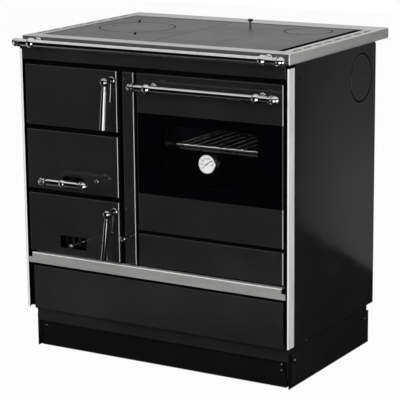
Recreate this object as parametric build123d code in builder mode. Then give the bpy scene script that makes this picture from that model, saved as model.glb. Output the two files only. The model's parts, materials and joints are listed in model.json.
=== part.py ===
"""Wood-burning kitchen range: firebox and ash box on the left, oven on the right, wood drawer below.

Frame: +X to the right seen from the front, +Y to the back, +Z up, origin on the floor at the
centre of the space that the whole stove takes up. All sizes are in millimetres.
"""
from build123d import *
import os
from math import cos, radians, sin

os.makedirs("parts", exist_ok=True)

# ---------------------------------------------------------------- driving dimensions
# Sheet and clearances
sheet = 1.5                     # outer panels
running_gap = 0.05              # radial clearance of pins and rods in their holes
fit_gap = 0.3                   # between pieces that slide or lift past each other

# Front, rows from the floor up
plinth_height = 114.0           # floor to the underside of the body
drawer_drop = 2.0               # the drawer front hangs this far below the body
drawer_front_height = 120.0
drawer_gap = 8.0
ledge_height = 28.0
ledge_gap = 6.5
front_door_height = 159.0
row_gap = 12.5
fascia_height = 34.0
rim_height = 27.0
lower_panel_lift = 2.5          # panel below the oven starts above the ash door's bottom edge
lower_panel_height = 83.0
lower_panel_gap = 9.0

# Front, columns from the left
post_front = 8.0
side_gap = 7.0
fire_column_width = 286.0
column_gap_left = 17.0
column_width = 34.0
column_gap_right = 9.0
oven_door_width = 420.0

# Depths
body_depth = 487.0              # door faces to the back
door_proud = 9.0                # door faces stand this far in front of the rim
rim_back = 84.0                 # the rim overhangs the body's back by this much
post_side = 30.0
post_gap = 3.0                  # dark line between the post and the side panel

# Rim and cooking surface
rim_inset = 3.0                 # rim's ends stand back from the posts
rim_wall = 3.0
rim_edge = 2.0                  # rounding of the rim's outer edges
rim_side = 37.0                 # widths of the rim beside, before and behind the plates
rim_front = 40.0
rim_rear = 72.0
rim_lip = 2.0
vent_count = 8
vent_length = 42.0
vent_width = 8.0
vent_inset = 16.0
hob_gap = 0.6                   # round the plates
hob_thickness = 8.5
hob_sink = 1.5                  # plates lie this far below the rim's top
hob_seam = 1.5
hob_expansion = 8.0             # gap left for heat at the right-hand end
support_thickness = 4.0
support_ledge = 12.0            # the angle ring reaches this far under the plates
lid_offset = (23.0, 15.0)       # from the middle of the fire column and of the hob's depth
lid_radius = 102.5
lid_step = 9.0
lid_gap = 0.6
lid_rim_thickness = 5.0
notch_angle = 120.0             # the two heat slots beside the lid lie on this line
notch_length = 46.0
notch_width = 6.0
notch_centre = 130.0
lifter_radius = 5.0
lifter_offset = 75.0
flue_cover_offset = (62.0, 82.0)    # from the oven's middle and from the hob's back edge
flue_cover_radius = 63.0
rib_first = 80.0
rib_pitch = 70.0
rib_width = 6.0
rib_depth = 7.0

# Folded fronts
pan_depth = 13.0                # folded depth of the door fronts
pan_sheet = 2.0
pan_radius = 3.0
plate_behind = 19.0             # front plate behind the door faces
plate_thickness = 3.0
liner_thickness = 5.0
liner_inset = 20.0
boss_radius = 6.0
ledge_notch = (11.0, 13.0)
wash_slot = (18.0, 6.0)         # air slots in the fire door's liner
wash_slot_count = 7
wash_slot_pitch = 24.0
wash_slot_lift = 34.0
air_port = (30.0, 10.0)         # air slots in the ash door's liner
air_port_count = 4
air_port_pitch = 20.0

# Turned handles
bar_radius = 9.0
ball_radius = 12.0
bar_reach = 36.0                # bar axis in front of the face that carries it
rail_overhang = 2.0             # towel rail beyond the posts
bracket_inset = 59.0            # ball stands from the ends of both bars
rail_drop = 13.5
oven_bar_overhang = 6.0
oven_bar_drop = 32.0
finial_length = 28.0
finial_radius = 11.5
grip_length = 124.0
grip_top_radius = 7.6
grip_end_radius = 9.5
handle_inset = 12.0             # turning axis from the door's right edge
handle_drop = 24.0
spindle_radius = 5.0
finger_length = 25.0
finger_height = 8.0
finger_thickness = 3.2
rosette_radius = 11.5
rosette_depth = 13.5
stem_radius = 1.4               # slim tail under the rosette, with a bead at its end
stem_length = 55.0
bead_radius = 2.6
fire_handle_lean = 4.0
ash_handle_lean = 6.0

# Hinges
hinge_setback = 6.0             # pivots from the edges that the doors turn about
pivot_depth = 8.0               # pivots behind the door faces
pin_radius = 3.0
pin_length = 8.0
lug_thickness = 4.0
lug_clear = 1.0

# Firebox, grate and ash pan
firebox_inset = (6.0, 8.0)      # from the fire column's left and right edges
firebox_wall = 4.0
firebox_short = 16.0            # firebox ends before the casing's back
fire_open = (200.0, 105.0)      # opening in the front plate, width and height
fire_open_drop = 26.0
ash_open = (220.0, 119.0)
brick_thickness = 30.0
front_brick_thickness = 25.0
brick_joint = 0.6
brick_below_outlet = 10.0
front_brick_height = 106.0
grate_lift = 58.0               # top of the grate above the middle panel's bottom edge
grate_frame_height = 16.0
grate_width = 178.0
grate_length = 290.0
grate_travel = 24.0
grate_bar = 7.0
grate_bars = 9
grate_ledge = (8.0, 4.0)
gas_outlet_drop = 14.5          # below the top of the fire door
pan_short = 49.0                # ash pan shorter than the firebox
ash_pan_height = 55.0

# Oven
oven_margin_side = 70.0         # cavity inside the door's outline
oven_margin_bottom = 71.0
oven_margin_top = 76.5
oven_wall = 2.0
oven_short = 57.0               # oven box ends before the casing's back
casing_inset = 20.0
casing_short = 44.0             # casing ends before the body's back
casing_wall = 2.5
glass_margin = (98.0, 100.5)    # bottom and top, from the door's edges
glass_thickness = 4.0
glass_sink = 0.6
window_margin = (73.0, 28.0, 26.0)  # sides from the door's edges, bottom and top from the glass
tunnel_wall = 3.0
rope_width = 8.0
rope_groove = 3.0
rope_proud = 0.7                # rope stands off the liner, just short of the plate
rack_lift = 148.0
rack_setback = 47.0
rack_short = 56.0
rack_margin = 5.0
rack_wire = 3.0
rack_rod = 2.0
rack_pitch = 27.0
rack_rods = 9
rack_drop = 8.0                 # the second front wire lies this far below the frame
guide_height = 4.0
guide_reach = 7.0
guide_pitch = 58.0
thermo_drop = 112.5             # below the top of the glass
thermo_radius = 25.0
thermo_depth = 10.5
thermo_hole = 8.0
bezel_wall = 2.0
dial_recess = 2.5
dial_thickness = 0.6
needle_pivot = 0.8
needle_angle = 35.5             # above the horizontal, tip to the right

# Controls
shaker_offset = (6.0, 34.0)     # from the fire column's middle and the panel's bottom edge
shaker_reach = 53.0
shaker_bar_half = 76.0
shaker_rod = 5.0
shaker_slot = (78.0, 34.0)
shaker_slot_offset = (-3.0, -9.0)
pin_offset = (71.0, 3.0)        # stop pin beside the T handle
air_slot = (84.0, 34.0)
air_slot_offset = (-3.0, 35.0)  # from the fire column's middle and the ash door's bottom edge
air_lever_offset = (34.0, 8.5)
air_lever_reach = 58.0
air_lever_ball = 6.5
air_lever_rod = 2.6
shutter_thickness = 1.5
shutter_margin = 6.0
shutter_guide_inset = (30.0, 12.0)  # from the door's left edge and the handle's axis
damper_lift = 77.5              # above the ash door's bottom edge
damper_offset = 4.0             # right of the column's middle
damper_reach = 33.0
damper_rod = 3.0
damper_knob = 7.6
damper_travel = 60.0
damper_window = (100.0, 90.0)
damper_window_offset = (18.0, 165.0)
damper_seat_drop = 10.0
damper_overlap = 10.0
start_offset = (-102.4, -18.0)  # from the oven's middle and the flue cover's middle
start_rod = 3.0
start_stem = 19.5
start_knob_radius = 7.0
start_knob_height = 7.0
start_travel = 40.0
gate_thickness = 3.0
gate_half = 45.0
gate_height = 46.0
gate_drop = 61.0                # top of the closed gate below the rim's top
window_inset = 5.0
hood_wall = 2.5
hood_ahead = 78.0               # hood wall in front of the flue cover's middle

# Soot opening under the oven
sweep_width = 220.0
sweep_margin = (9.0, 12.0)      # above the casing's floor, below the lower panel's top

# Flue
flue_bore = 60.0
flue_wall = 2.0
flue_drop = 111.0               # flue axis below the rim's top
collar_length = 75.0            # behind the body
collar_flange = 75.0
blank_inset = 86.4              # side flue axis from the body's back
blank_radius = 60.5
blank_screw = (17.0, 36.0)      # from the body's back and the rim's underside
blank_ring = 4.0                # open ring between the blank and the side panel

# Vents in the back panel
back_vent = (40.0, 6.0)
back_vent_count = 10
back_vent_pitch = 26.0
back_vent_lift = 50.0           # above the drawer front's bottom edge
back_vent_drop = 70.0           # below the rim's underside

# Drawer
drawer_bay_inset = (26.0, 18.0, 3.0, 11.0)  # left, right, bottom and top
drawer_front_inset = 23.0
drawer_short = 51.0             # box shorter than the body
drawer_wall = 1.5
drawer_margin = 7.0
runner_height = 5.0
runner_width = 20.0
runner_inset = 98.0

# Screws
screw_radius = 2.8
screw_height = 1.8
rivet_radius = 2.0
rivet_height = 1.2
rivet_inset = (98.0, 44.0, 11.0)   # from the frame's front, back and top

# Plinth and feet
plinth_inset = 13.5
plinth_front = 25.0             # behind the door faces
plinth_short = 34.0
frame_height = 42.0
skirt_recess = 12.0
skirt_front_short = 11.5
skirt_rise = 3.0
skirt_tab_height = 15.0
skirt_front_tab = 82.0
skirt_back_tab = 58.0
leg_width = 30.0
leg_bottom_z = 26.0
foot_pad_radius = 20.0
foot_pad_height = 8.0
foot_stud_radius = 5.0
foot_inset = (48.0, 60.0, 45.0)     # sides, front and back, from the base frame
foot_plate = (80.0, 90.0, 3.0)
foot_plate_drop = 22.0
shelf_lift = 21.5               # shelf over the drawer, above the ledge strip

# ---------------------------------------------------------------- places worked out from them
drawer_z = (plinth_height - drawer_drop, plinth_height - drawer_drop + drawer_front_height)
ledge_z = (drawer_z[1] + drawer_gap, drawer_z[1] + drawer_gap + ledge_height)
ash_z = (ledge_z[1] + ledge_gap, ledge_z[1] + ledge_gap + front_door_height)
middle_z = (ash_z[1] + row_gap, ash_z[1] + row_gap + front_door_height)
fire_z = (middle_z[1] + row_gap, middle_z[1] + row_gap + front_door_height)
fascia_z = (fire_z[1] + row_gap, fire_z[1] + row_gap + fascia_height)
lower_z = (ash_z[0] + lower_panel_lift, ash_z[0] + lower_panel_lift + lower_panel_height)
oven_door_z = (lower_z[1] + lower_panel_gap, fire_z[1])
z_rim = fascia_z[1]
stove_height = z_rim + rim_height
z_hob = stove_height - hob_sink
z_hob_under = z_hob - hob_thickness
carcass_top_z = z_hob_under - support_thickness
body_floor_z = plinth_height

body_width = (2 * (post_front + side_gap) + fire_column_width + column_gap_left + column_width
              + column_gap_right + oven_door_width)
x_body = body_width / 2
x_inner = x_body - sheet
left_door = (-x_body + post_front + side_gap, -x_body + post_front + side_gap + fire_column_width)
column = (left_door[1] + column_gap_left, left_door[1] + column_gap_left + column_width)
oven_door_x = (column[1] + column_gap_right, column[1] + column_gap_right + oven_door_width)
left_middle = (left_door[0] + left_door[1]) / 2
oven_middle = (oven_door_x[0] + oven_door_x[1]) / 2

rim_width = body_width - 2 * rim_inset
rim_depth = body_depth - door_proud + rim_back
front_reach = door_proud + air_lever_reach + air_lever_ball
y_rim = (front_reach - rim_depth) / 2
y_face = y_rim - door_proud
y_plate = y_face + plate_behind
y_inside = y_plate + plate_thickness
y_back = y_face + body_depth
y_panel = y_back - 2 * sheet    # inner face of the back panel
y_pivot = y_face + pivot_depth

rim_open_half = rim_width / 2 - rim_side
rim_open_y = (y_rim + rim_front, y_rim + rim_depth - rim_rear)
plate_y = (rim_open_y[0] + hob_gap, rim_open_y[1] - hob_gap)
hob_seam_x = column[1] + 10
vent_pitch = (rim_open_y[1] - rim_open_y[0]) / vent_count
lid_x = left_middle + lid_offset[0]
lid_y = (plate_y[0] + plate_y[1]) / 2 + lid_offset[1]
flue_x = oven_middle + flue_cover_offset[0]
flue_cover_y = rim_open_y[1] - flue_cover_offset[1]
flue_z = stove_height - flue_drop
rail_z = stove_height - rail_drop
rail_half = x_body + rail_overhang
oven_bar_half = oven_door_width / 2 + oven_bar_overhang
oven_bar_z = oven_door_z[1] - oven_bar_drop

handle_x = left_door[1] - handle_inset
hinge_x = left_door[0] + hinge_setback
oven_pivot_z = oven_door_z[0] + hinge_setback
fire_handle_z = fire_z[1] - handle_drop
ash_handle_z = ash_z[1] - handle_drop
y_liner = y_face + pan_depth + liner_thickness

shelf_z = ledge_z[1] + shelf_lift
casing_floor = shelf_z + sheet
firebox_left = left_door[0] + firebox_inset[0]
firebox_right = left_door[1] - firebox_inset[1]
casing_right = x_body - casing_inset
casing_depth = body_depth - casing_short
y_casing = (y_inside, y_inside + casing_depth)
y_firebox = (y_inside, y_casing[1] - firebox_short)
shell_x = (firebox_left + firebox_wall, firebox_right - firebox_wall)
y_bed = (y_inside + 1, y_firebox[1] - firebox_wall)
ash_floor = casing_floor + firebox_wall
fire_open_z = (fire_z[1] - fire_open_drop - fire_open[1], fire_z[1] - fire_open_drop)
ash_open_z = (ash_floor, ash_floor + ash_open[1])
gas_outlet_z = fire_z[1] - gas_outlet_drop
brick_top_z = gas_outlet_z - brick_below_outlet
grate_z = middle_z[0] + grate_lift
grate_x = (shell_x[0] + shell_x[1]) / 2
grate_under = grate_z - grate_frame_height
inner_x = (shell_x[0] + brick_thickness, shell_x[1] - brick_thickness)
pan_length = y_firebox[1] - y_firebox[0] - pan_short
ash_pan_x = (left_middle - ash_open[0] / 2 + 4, left_middle + ash_open[0] / 2 - 4)
ash_pan_z = (ash_floor, ash_floor + ash_pan_height)
y_ash_pan = (y_inside + 6, y_inside + 6 + pan_length)

oven_x = (oven_door_x[0] + oven_margin_side, oven_door_x[1] - oven_margin_side)
oven_z = (oven_door_z[0] + oven_margin_bottom, oven_door_z[1] - oven_margin_top)
oven_top = oven_z[1] + oven_wall
y_oven = (y_inside, y_casing[1] - oven_short)
glass_z = (oven_door_z[0] + glass_margin[0], oven_door_z[1] - glass_margin[1])
glass_y = (y_face + glass_sink, y_face + glass_sink + glass_thickness)
window_x = (oven_door_x[0] + window_margin[0], oven_door_x[1] - window_margin[0])
window_z = (glass_z[0] + window_margin[1], glass_z[1] - window_margin[2])
thermo_z = glass_z[1] - thermo_drop
rack_z = oven_z[0] + rack_lift
rack_x = (oven_x[0] + rack_margin, oven_x[1] - rack_margin)
y_rack = (y_oven[0] + rack_setback, y_oven[0] + rack_setback + y_oven[1] - y_oven[0] - rack_short)

shaker_x = left_middle + shaker_offset[0]
shaker_z = middle_z[0] + shaker_offset[1]
air_slot_at = (left_middle + air_slot_offset[0], ash_z[0] + air_slot_offset[1])
air_lever_x = air_slot_at[0] + air_lever_offset[0]
air_lever_z = air_slot_at[1] + air_lever_offset[1]
shutter_half_height = air_slot[1] / 2 + shutter_margin
shutter_x = (air_lever_x - 7, air_lever_x - 7 + air_slot[0] + shutter_margin)
shutter_y = y_face + pan_sheet + fit_gap
damper_x = (column[0] + column[1]) / 2 + damper_offset
damper_z = ash_z[0] + damper_lift
seat_z = damper_z - damper_seat_drop
start_x = oven_middle + start_offset[0]
start_y = flue_cover_y + start_offset[1]
gate_z = (stove_height - gate_drop - gate_height, stove_height - gate_drop)
hood_x = start_x + start_rod + fit_gap
y_hood = flue_cover_y - hood_ahead
collar_back = y_back + collar_length

drawer_bay = (-x_body + drawer_bay_inset[0], x_body - drawer_bay_inset[1],
              plinth_height + drawer_bay_inset[2], ledge_z[0] - drawer_bay_inset[3])
drawer_front_x = (-x_body + drawer_front_inset, oven_door_x[1])
box_x = (drawer_bay[0] + drawer_margin, drawer_bay[1] - drawer_margin)
box_z = (body_floor_z + sheet + runner_height + fit_gap, drawer_bay[3] - drawer_margin)
box_y = (y_face + pan_sheet, y_back - drawer_short + pan_sheet)

plinth_half = x_body - plinth_inset
y_plinth = (y_face + plinth_front, y_back - plinth_short + plinth_front)
plinth_bottom_z = plinth_height - frame_height
foot_plate_z = plinth_height - foot_plate_drop
foot_places = [(sign * (plinth_half - foot_inset[0]), y) for sign in (-1, 1)
               for y in (y_plinth[0] + foot_inset[1], y_plinth[1] - foot_inset[2])]
y_skirt = y_plinth[0] + skirt_recess
skirt_front_x = (-plinth_half + sheet + 2, plinth_half - skirt_front_short)
side_skirt_y = (y_plinth[0] + 1, y_plinth[1] + 8)


# ---------------------------------------------------------------- small helpers
def level(z):
    """Horizontal plane at a height."""
    return Plane.XY.offset(z)


def facing(y):
    """Upright plane that looks to the front; its axes are X and Z."""
    return Plane(origin=(0, y, 0), x_dir=(1, 0, 0), z_dir=(0, -1, 0))


def sideways(x):
    """Upright plane that looks to the right; its axes are Y and Z."""
    return Plane(origin=(x, 0, 0), x_dir=(0, 1, 0), z_dir=(1, 0, 0))


def span(a0, a1, b0, b1, mode=Mode.ADD):
    """Rectangle between two corners, in the sketch being drawn."""
    with Locations(((a0 + a1) / 2, (b0 + b1) / 2)):
        Rectangle(a1 - a0, b1 - b0, mode=mode)


def block(x0, x1, y0, y1, z0, z1, mode=Mode.ADD):
    """Box between two corners, in the part being made."""
    with Locations(((x0 + x1) / 2, (y0 + y1) / 2, (z0 + z1) / 2)):
        Box(x1 - x0, y1 - y0, z1 - z0, mode=mode)


def rod_y(x, z, radius, y0, y1, mode=Mode.ADD):
    """Round rod or hole along Y."""
    with Locations((x, (y0 + y1) / 2, z)):
        Cylinder(radius, y1 - y0, rotation=(90, 0, 0), mode=mode)


def rod_z(x, y, radius, z0, z1, mode=Mode.ADD):
    """Round rod or hole along Z."""
    with Locations((x, y, (z0 + z1) / 2)):
        Cylinder(radius, z1 - z0, mode=mode)


def rod_x(y, z, radius, x0, x1, mode=Mode.ADD):
    """Round rod or hole along X."""
    with Locations(((x0 + x1) / 2, y, z)):
        Cylinder(radius, x1 - x0, rotation=(0, 90, 0), mode=mode)


def folded_pan(x_range, z_range, depth=pan_depth):
    """Enamelled front folded from sheet: rounded front edges, open at the back."""
    with BuildSketch(facing(y_face + depth)) as outline:
        span(*x_range, *z_range)
    extrude(outline.sketch, amount=depth)
    fillet(edges().group_by(Axis.Y)[0], pan_radius)
    block(x_range[0] + pan_sheet, x_range[1] - pan_sheet, y_face + pan_sheet, y_face + depth,
          z_range[0] + pan_sheet, z_range[1] - pan_sheet, mode=Mode.SUBTRACT)


def turned_bar(half_length, x, y, z):
    """Round bar along X with a ringed finial at each end, drawn as half a profile and mirrored."""
    shoulder = half_length - finial_length
    ring = finial_length / 4
    with BuildSketch(Plane(origin=(x, y, z), x_dir=(1, 0, 0), z_dir=(0, -1, 0))) as profile:
        with BuildLine():
            Polyline((0, 0), (0, bar_radius), (shoulder, bar_radius),
                     (shoulder + 1, bar_radius - 2), (shoulder + ring - 2, bar_radius - 2),
                     (shoulder + ring, finial_radius), (shoulder + ring + 3, finial_radius),
                     (shoulder + ring + 4, bar_radius - 1),
                     (half_length - finial_radius - 2, bar_radius - 1),
                     (half_length - finial_radius, finial_radius))
            ThreePointArc((half_length - finial_radius, finial_radius),
                          (half_length - finial_radius * (1 - cos(radians(45))),
                           finial_radius * sin(radians(45))), (half_length, 0))
            Line((half_length, 0), (0, 0))
        make_face()
    revolve(profile.sketch, axis=Axis((x, y, z), (1, 0, 0)))
    mirror(about=Plane(origin=(x, y, z), z_dir=(1, 0, 0)))


def ball_stand(x, y_base, z):
    """Rosette, neck and drilled ball that hold a bar in front of a face at y_base."""
    with BuildSketch(Plane(origin=(x, y_base, z), x_dir=(1, 0, 0), z_dir=(0, 0, 1))) as profile:
        with BuildLine():
            Polyline((0, 0), (11, 0), (11, -2.5))
            ThreePointArc((11, -2.5), (10.2, -6.4), (6.5, -8.5))
            Line((6.5, -8.5), (4.6, -10.5))
            Line((4.6, -10.5), (4.6, -bar_reach + ball_radius - 1))
            Line((4.6, -bar_reach + ball_radius - 1), (0, -bar_reach + ball_radius - 1))
            Line((0, -bar_reach + ball_radius - 1), (0, 0))
        make_face()
    revolve(profile.sketch, axis=Axis((x, y_base, z), (0, 1, 0)))
    bore = bar_radius + running_gap
    outside = ball_radius + 1.5
    half = (outside ** 2 - bore ** 2) ** 0.5
    with BuildSketch(Plane(origin=(x, y_base - bar_reach, z), x_dir=(1, 0, 0),
                           z_dir=(0, -1, 0))) as bead:
        with BuildLine():
            ThreePointArc((half, bore), (0, outside), (-half, bore))
            Line((-half, bore), (half, bore))
        make_face()
    revolve(bead.sketch, axis=Axis((x, y_base - bar_reach, z), (1, 0, 0)))


def lift_off_disc(x, y, radius, step, drop):
    """Cast lid with a thin rim that lies in the plate's rebate and a boss that drops into its hole."""
    with BuildSketch(Plane(origin=(x, y, z_hob), x_dir=(1, 0, 0), z_dir=(0, -1, 0))) as profile:
        with BuildLine():
            Polyline((0, 0), (radius - 1, 0), (radius, -1), (radius, -lid_rim_thickness),
                     (radius - step, -lid_rim_thickness), (radius - step - 1, -drop), (0, -drop),
                     close=True)
        make_face()
    revolve(profile.sketch, axis=Axis((x, y, z_hob), (0, 0, 1)))


def lid_seat(x, y, radius, step):
    """Rebated hole in a hob plate for a lift-off disc."""
    seat_radius = radius + lid_gap
    rod_z(x, y, seat_radius, z_hob - lid_rim_thickness, z_hob, mode=Mode.SUBTRACT)
    rod_z(x, y, seat_radius - step, z_hob_under, z_hob, mode=Mode.SUBTRACT)


# ---------------------------------------------------------------- top: rim, plates, lids
with BuildPart() as top_frame:
    with BuildSketch(level(z_rim)):
        span(-rim_width / 2, rim_width / 2, y_rim, y_rim + rim_depth)
    extrude(amount=rim_height)
    fillet(edges().filter_by(Axis.Z), rim_edge / 2)
    fillet(faces().sort_by(Axis.Z)[-1].edges(), rim_edge)
    block(-rim_width / 2 + rim_wall, rim_width / 2 - rim_wall, y_rim + rim_wall,
          y_rim + rim_depth - rim_wall, z_rim, stove_height - rim_wall, mode=Mode.SUBTRACT)
    with BuildSketch(level(z_hob_under)):
        span(-rim_open_half - rim_lip, rim_open_half + rim_lip, rim_open_y[0] - rim_lip,
             rim_open_y[1] + rim_lip)
    extrude(amount=hob_thickness + hob_sink)
    block(-rim_open_half, rim_open_half, *rim_open_y, z_rim, stove_height, mode=Mode.SUBTRACT)
    with BuildSketch(level(stove_height)):
        for vent in range(vent_count):
            for sign in (-1, 1):
                with Locations((sign * (rim_width / 2 - vent_inset),
                                rim_open_y[0] + (vent + 0.5) * vent_pitch)):
                    SlotOverall(vent_length, vent_width, rotation=90)
    extrude(amount=-rim_wall, mode=Mode.SUBTRACT)
top_frame.part.label = "top_frame"
export_step(top_frame.part, "parts/top_frame.step")

with BuildPart() as cooktop_left:
    with BuildSketch(level(z_hob_under)):
        span(-rim_open_half + hob_gap, hob_seam_x - hob_seam / 2, *plate_y)
    extrude(amount=hob_thickness)
    chamfer(faces().sort_by(Axis.Z)[-1].edges(), 1)
    lid_seat(lid_x, lid_y, lid_radius, lid_step)
    with BuildSketch(level(z_hob)):
        with Locations((lid_x, lid_y)):
            with PolarLocations(notch_centre, 2, start_angle=notch_angle):
                SlotOverall(notch_length, notch_width)
    extrude(amount=-hob_thickness, mode=Mode.SUBTRACT)
cooktop_left.part.label = "cooktop_left"
export_step(cooktop_left.part, "parts/cooktop_left.step")

with BuildPart() as cooktop_right:
    with BuildSketch(level(z_hob_under)):
        span(hob_seam_x + hob_seam / 2, rim_open_half - hob_expansion, *plate_y)
    extrude(amount=hob_thickness)
    chamfer(faces().sort_by(Axis.Z)[-1].edges(), 1)
    for rib in range(3):
        rib_y = plate_y[0] + rib_first + rib * rib_pitch
        block(hob_seam_x + 2 * support_ledge, rim_open_half - 3 * support_ledge, rib_y,
              rib_y + rib_width, z_hob_under - rib_depth, z_hob_under)
    lid_seat(flue_x, flue_cover_y, flue_cover_radius, lid_step)
    rod_z(start_x, start_y, start_rod + running_gap, z_hob_under, z_hob,
          mode=Mode.SUBTRACT)
cooktop_right.part.label = "cooktop_right"
export_step(cooktop_right.part, "parts/cooktop_right.step")

with BuildPart() as ring_lid:
    lift_off_disc(lid_x, lid_y, lid_radius, lid_step + lid_gap, hob_thickness)
    rod_z(lid_x - lifter_offset, lid_y, lifter_radius, z_hob - 3, z_hob,
          mode=Mode.SUBTRACT)
ring_lid.part.label = "ring_lid"
export_step(ring_lid.part, "parts/ring_lid.step")

with BuildPart() as top_flue_cover:
    lift_off_disc(flue_x, flue_cover_y, flue_cover_radius, lid_step + lid_gap, hob_thickness)
    with BuildSketch(level(z_hob)):
        with Locations((flue_x, flue_cover_y - flue_cover_radius)):
            SlotOverall(16, 9, rotation=90)
    extrude(amount=-3, mode=Mode.SUBTRACT)
top_flue_cover.part.label = "top_flue_cover"
export_step(top_flue_cover.part, "parts/top_flue_cover.step")

with BuildPart() as cooktop_support:
    with BuildSketch(level(carcass_top_z)):
        span(-rim_width / 2 + rim_wall + fit_gap, rim_width / 2 - rim_wall - fit_gap,
             y_inside + 1, plate_y[1] + support_ledge)
        span(-rim_open_half + hob_gap + support_ledge, hob_seam_x - support_ledge,
             plate_y[0] + support_ledge, plate_y[1] - support_ledge, mode=Mode.SUBTRACT)
        span(hob_seam_x + support_ledge, rim_open_half - hob_expansion - support_ledge,
             plate_y[0] + support_ledge, plate_y[1] - support_ledge, mode=Mode.SUBTRACT)
    extrude(amount=z_hob_under - carcass_top_z)
cooktop_support.part.label = "cooktop_support"
export_step(cooktop_support.part, "parts/cooktop_support.step")

with BuildPart() as towel_rail:
    turned_bar(rail_half, 0, y_rim - bar_reach, rail_z)
towel_rail.part.label = "towel_rail"
export_step(towel_rail.part, "parts/towel_rail.step")

with BuildPart() as rail_brackets:
    for sign in (-1, 1):
        ball_stand(sign * (rail_half - bracket_inset), y_rim, rail_z)
rail_brackets.part.label = "rail_brackets"
export_step(rail_brackets.part, "parts/rail_brackets.step")

# ---------------------------------------------------------------- fixed front pieces
with BuildPart() as fascia:
    folded_pan((-x_body + post_front, x_body - post_front), fascia_z, plate_behind)
fascia.part.label = "fascia"
export_step(fascia.part, "parts/fascia.step")

with BuildPart() as middle_panel:
    folded_pan(left_door, middle_z)
    for edge in (left_door[0] + liner_inset, left_door[1] - liner_inset - pan_sheet):
        block(edge, edge + pan_sheet, y_face + pan_sheet, y_plate,
              middle_z[0] + liner_inset, middle_z[1] - liner_inset)
    with BuildSketch(facing(y_face + pan_sheet)):
        with Locations((shaker_x + shaker_slot_offset[0], shaker_z + shaker_slot_offset[1])):
            SlotOverall(*shaker_slot)
    extrude(amount=pan_sheet, mode=Mode.SUBTRACT)
middle_panel.part.label = "middle_panel"
export_step(middle_panel.part, "parts/middle_panel.step")

with BuildPart() as centre_column:
    folded_pan(column, (ash_z[0], fire_z[1]), plate_behind)
    rod_y(damper_x, damper_z, damper_rod + 1, y_face - 1, y_face + pan_sheet + 1,
          mode=Mode.SUBTRACT)
centre_column.part.label = "centre_column"
export_step(centre_column.part, "parts/centre_column.step")

with BuildPart() as lower_front_panel:
    folded_pan(oven_door_x, lower_z, plate_behind)
lower_front_panel.part.label = "lower_front_panel"
export_step(lower_front_panel.part, "parts/lower_front_panel.step")

ledge_half = x_body - post_front - 1
with BuildPart() as ledge_strip:
    with BuildSketch(sideways(-ledge_half)):
        with BuildLine():
            Polyline((y_plate, ledge_z[1]), (y_face + 2, ledge_z[1]), (y_face, ledge_z[1] - 2),
                     (y_face, ledge_z[0]), (y_plate, ledge_z[0]), (y_plate, ledge_z[0] + sheet),
                     (y_face + sheet, ledge_z[0] + sheet), (y_face + sheet, ledge_z[1] - sheet - 1),
                     (y_face + sheet + 1, ledge_z[1] - sheet), (y_plate, ledge_z[1] - sheet),
                     close=True)
        make_face()
    extrude(amount=2 * ledge_half)
    for x0, x1 in ((-ledge_half, -ledge_half + ledge_notch[0]),
                   (ledge_half - ledge_notch[0], ledge_half)):
        block(x0, x1, y_face, y_plate, ledge_z[1] - ledge_notch[1], ledge_z[1],
              mode=Mode.SUBTRACT)
ledge_strip.part.label = "ledge_strip"
export_step(ledge_strip.part, "parts/ledge_strip.step")

oven_plate_open = (*oven_x, *oven_z)
fire_plate_open = (left_middle - fire_open[0] / 2, left_middle + fire_open[0] / 2, *fire_open_z)
ash_plate_open = (left_middle - ash_open[0] / 2, left_middle + ash_open[0] / 2, *ash_open_z)
sweep_open = (oven_middle - sweep_width / 2, oven_middle + sweep_width / 2,
              casing_floor + sweep_margin[0], lower_z[1] - sweep_margin[1])
with BuildPart() as front_plate:
    with BuildSketch(facing(y_inside)):
        span(-x_inner, x_inner, body_floor_z + sheet, z_rim)
        for opening in (fire_plate_open, ash_plate_open, oven_plate_open, sweep_open, drawer_bay):
            span(*opening, mode=Mode.SUBTRACT)
        with Locations((shaker_x, shaker_z)):
            Circle(shaker_rod + running_gap, mode=Mode.SUBTRACT)
        with Locations((damper_x, damper_z)):
            Circle(damper_rod + running_gap, mode=Mode.SUBTRACT)
    extrude(amount=plate_thickness)
    for x0, x1 in ((-x_inner, -x_inner + plate_thickness), (x_inner - plate_thickness, x_inner)):
        block(x0, x1, y_inside, y_face + post_side + leg_width, body_floor_z + sheet, z_rim)
front_plate.part.label = "front_plate"
export_step(front_plate.part, "parts/front_plate.step")

# ---------------------------------------------------------------- outer shell
with BuildPart() as corner_posts:
    with BuildSketch(level(body_floor_z)):
        span(x_inner, x_body, y_face, y_face + post_side)
        span(x_body - post_front, x_body, y_face, y_face + sheet)
    extrude(amount=z_rim - body_floor_z - 0.5)
    fillet(edges().filter_by(Axis.Z).group_by(Axis.Y)[0].sort_by(Axis.X)[-1:], sheet - 0.3)
    mirror(about=Plane.YZ)
corner_posts.part.label = "corner_posts"
export_step(corner_posts.part, "parts/corner_posts.step")

side_front = y_face + post_side + post_gap
return_flange = 14.0
for side_name, sign in (("left", -1), ("right", 1)):
    with BuildPart() as side_panel:
        with BuildSketch(sideways(sign * x_inner)):
            span(side_front, y_back, body_floor_z, z_rim)
            back_corners = vertices().group_by(Axis.Y)[-1]
            fillet(back_corners.sort_by(Axis.Z)[-1:], 8)
            if sign > 0:
                with Locations((y_back - blank_inset, flue_z)):
                    Circle(blank_radius + blank_ring, mode=Mode.SUBTRACT)
            with Locations((side_front + 22, z_rim - 38)):
                SlotOverall(14, 5, rotation=90, mode=Mode.SUBTRACT)
        extrude(amount=sign * sheet)
        inner, outer = sorted((sign * (x_inner - return_flange), sign * x_inner))
        block(inner, outer, y_back - sheet, y_back, body_floor_z, z_rim - 10)
    side_panel.part.label = f"side_panel_{side_name}"
    export_step(side_panel.part, f"parts/side_panel_{side_name}.step")

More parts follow.
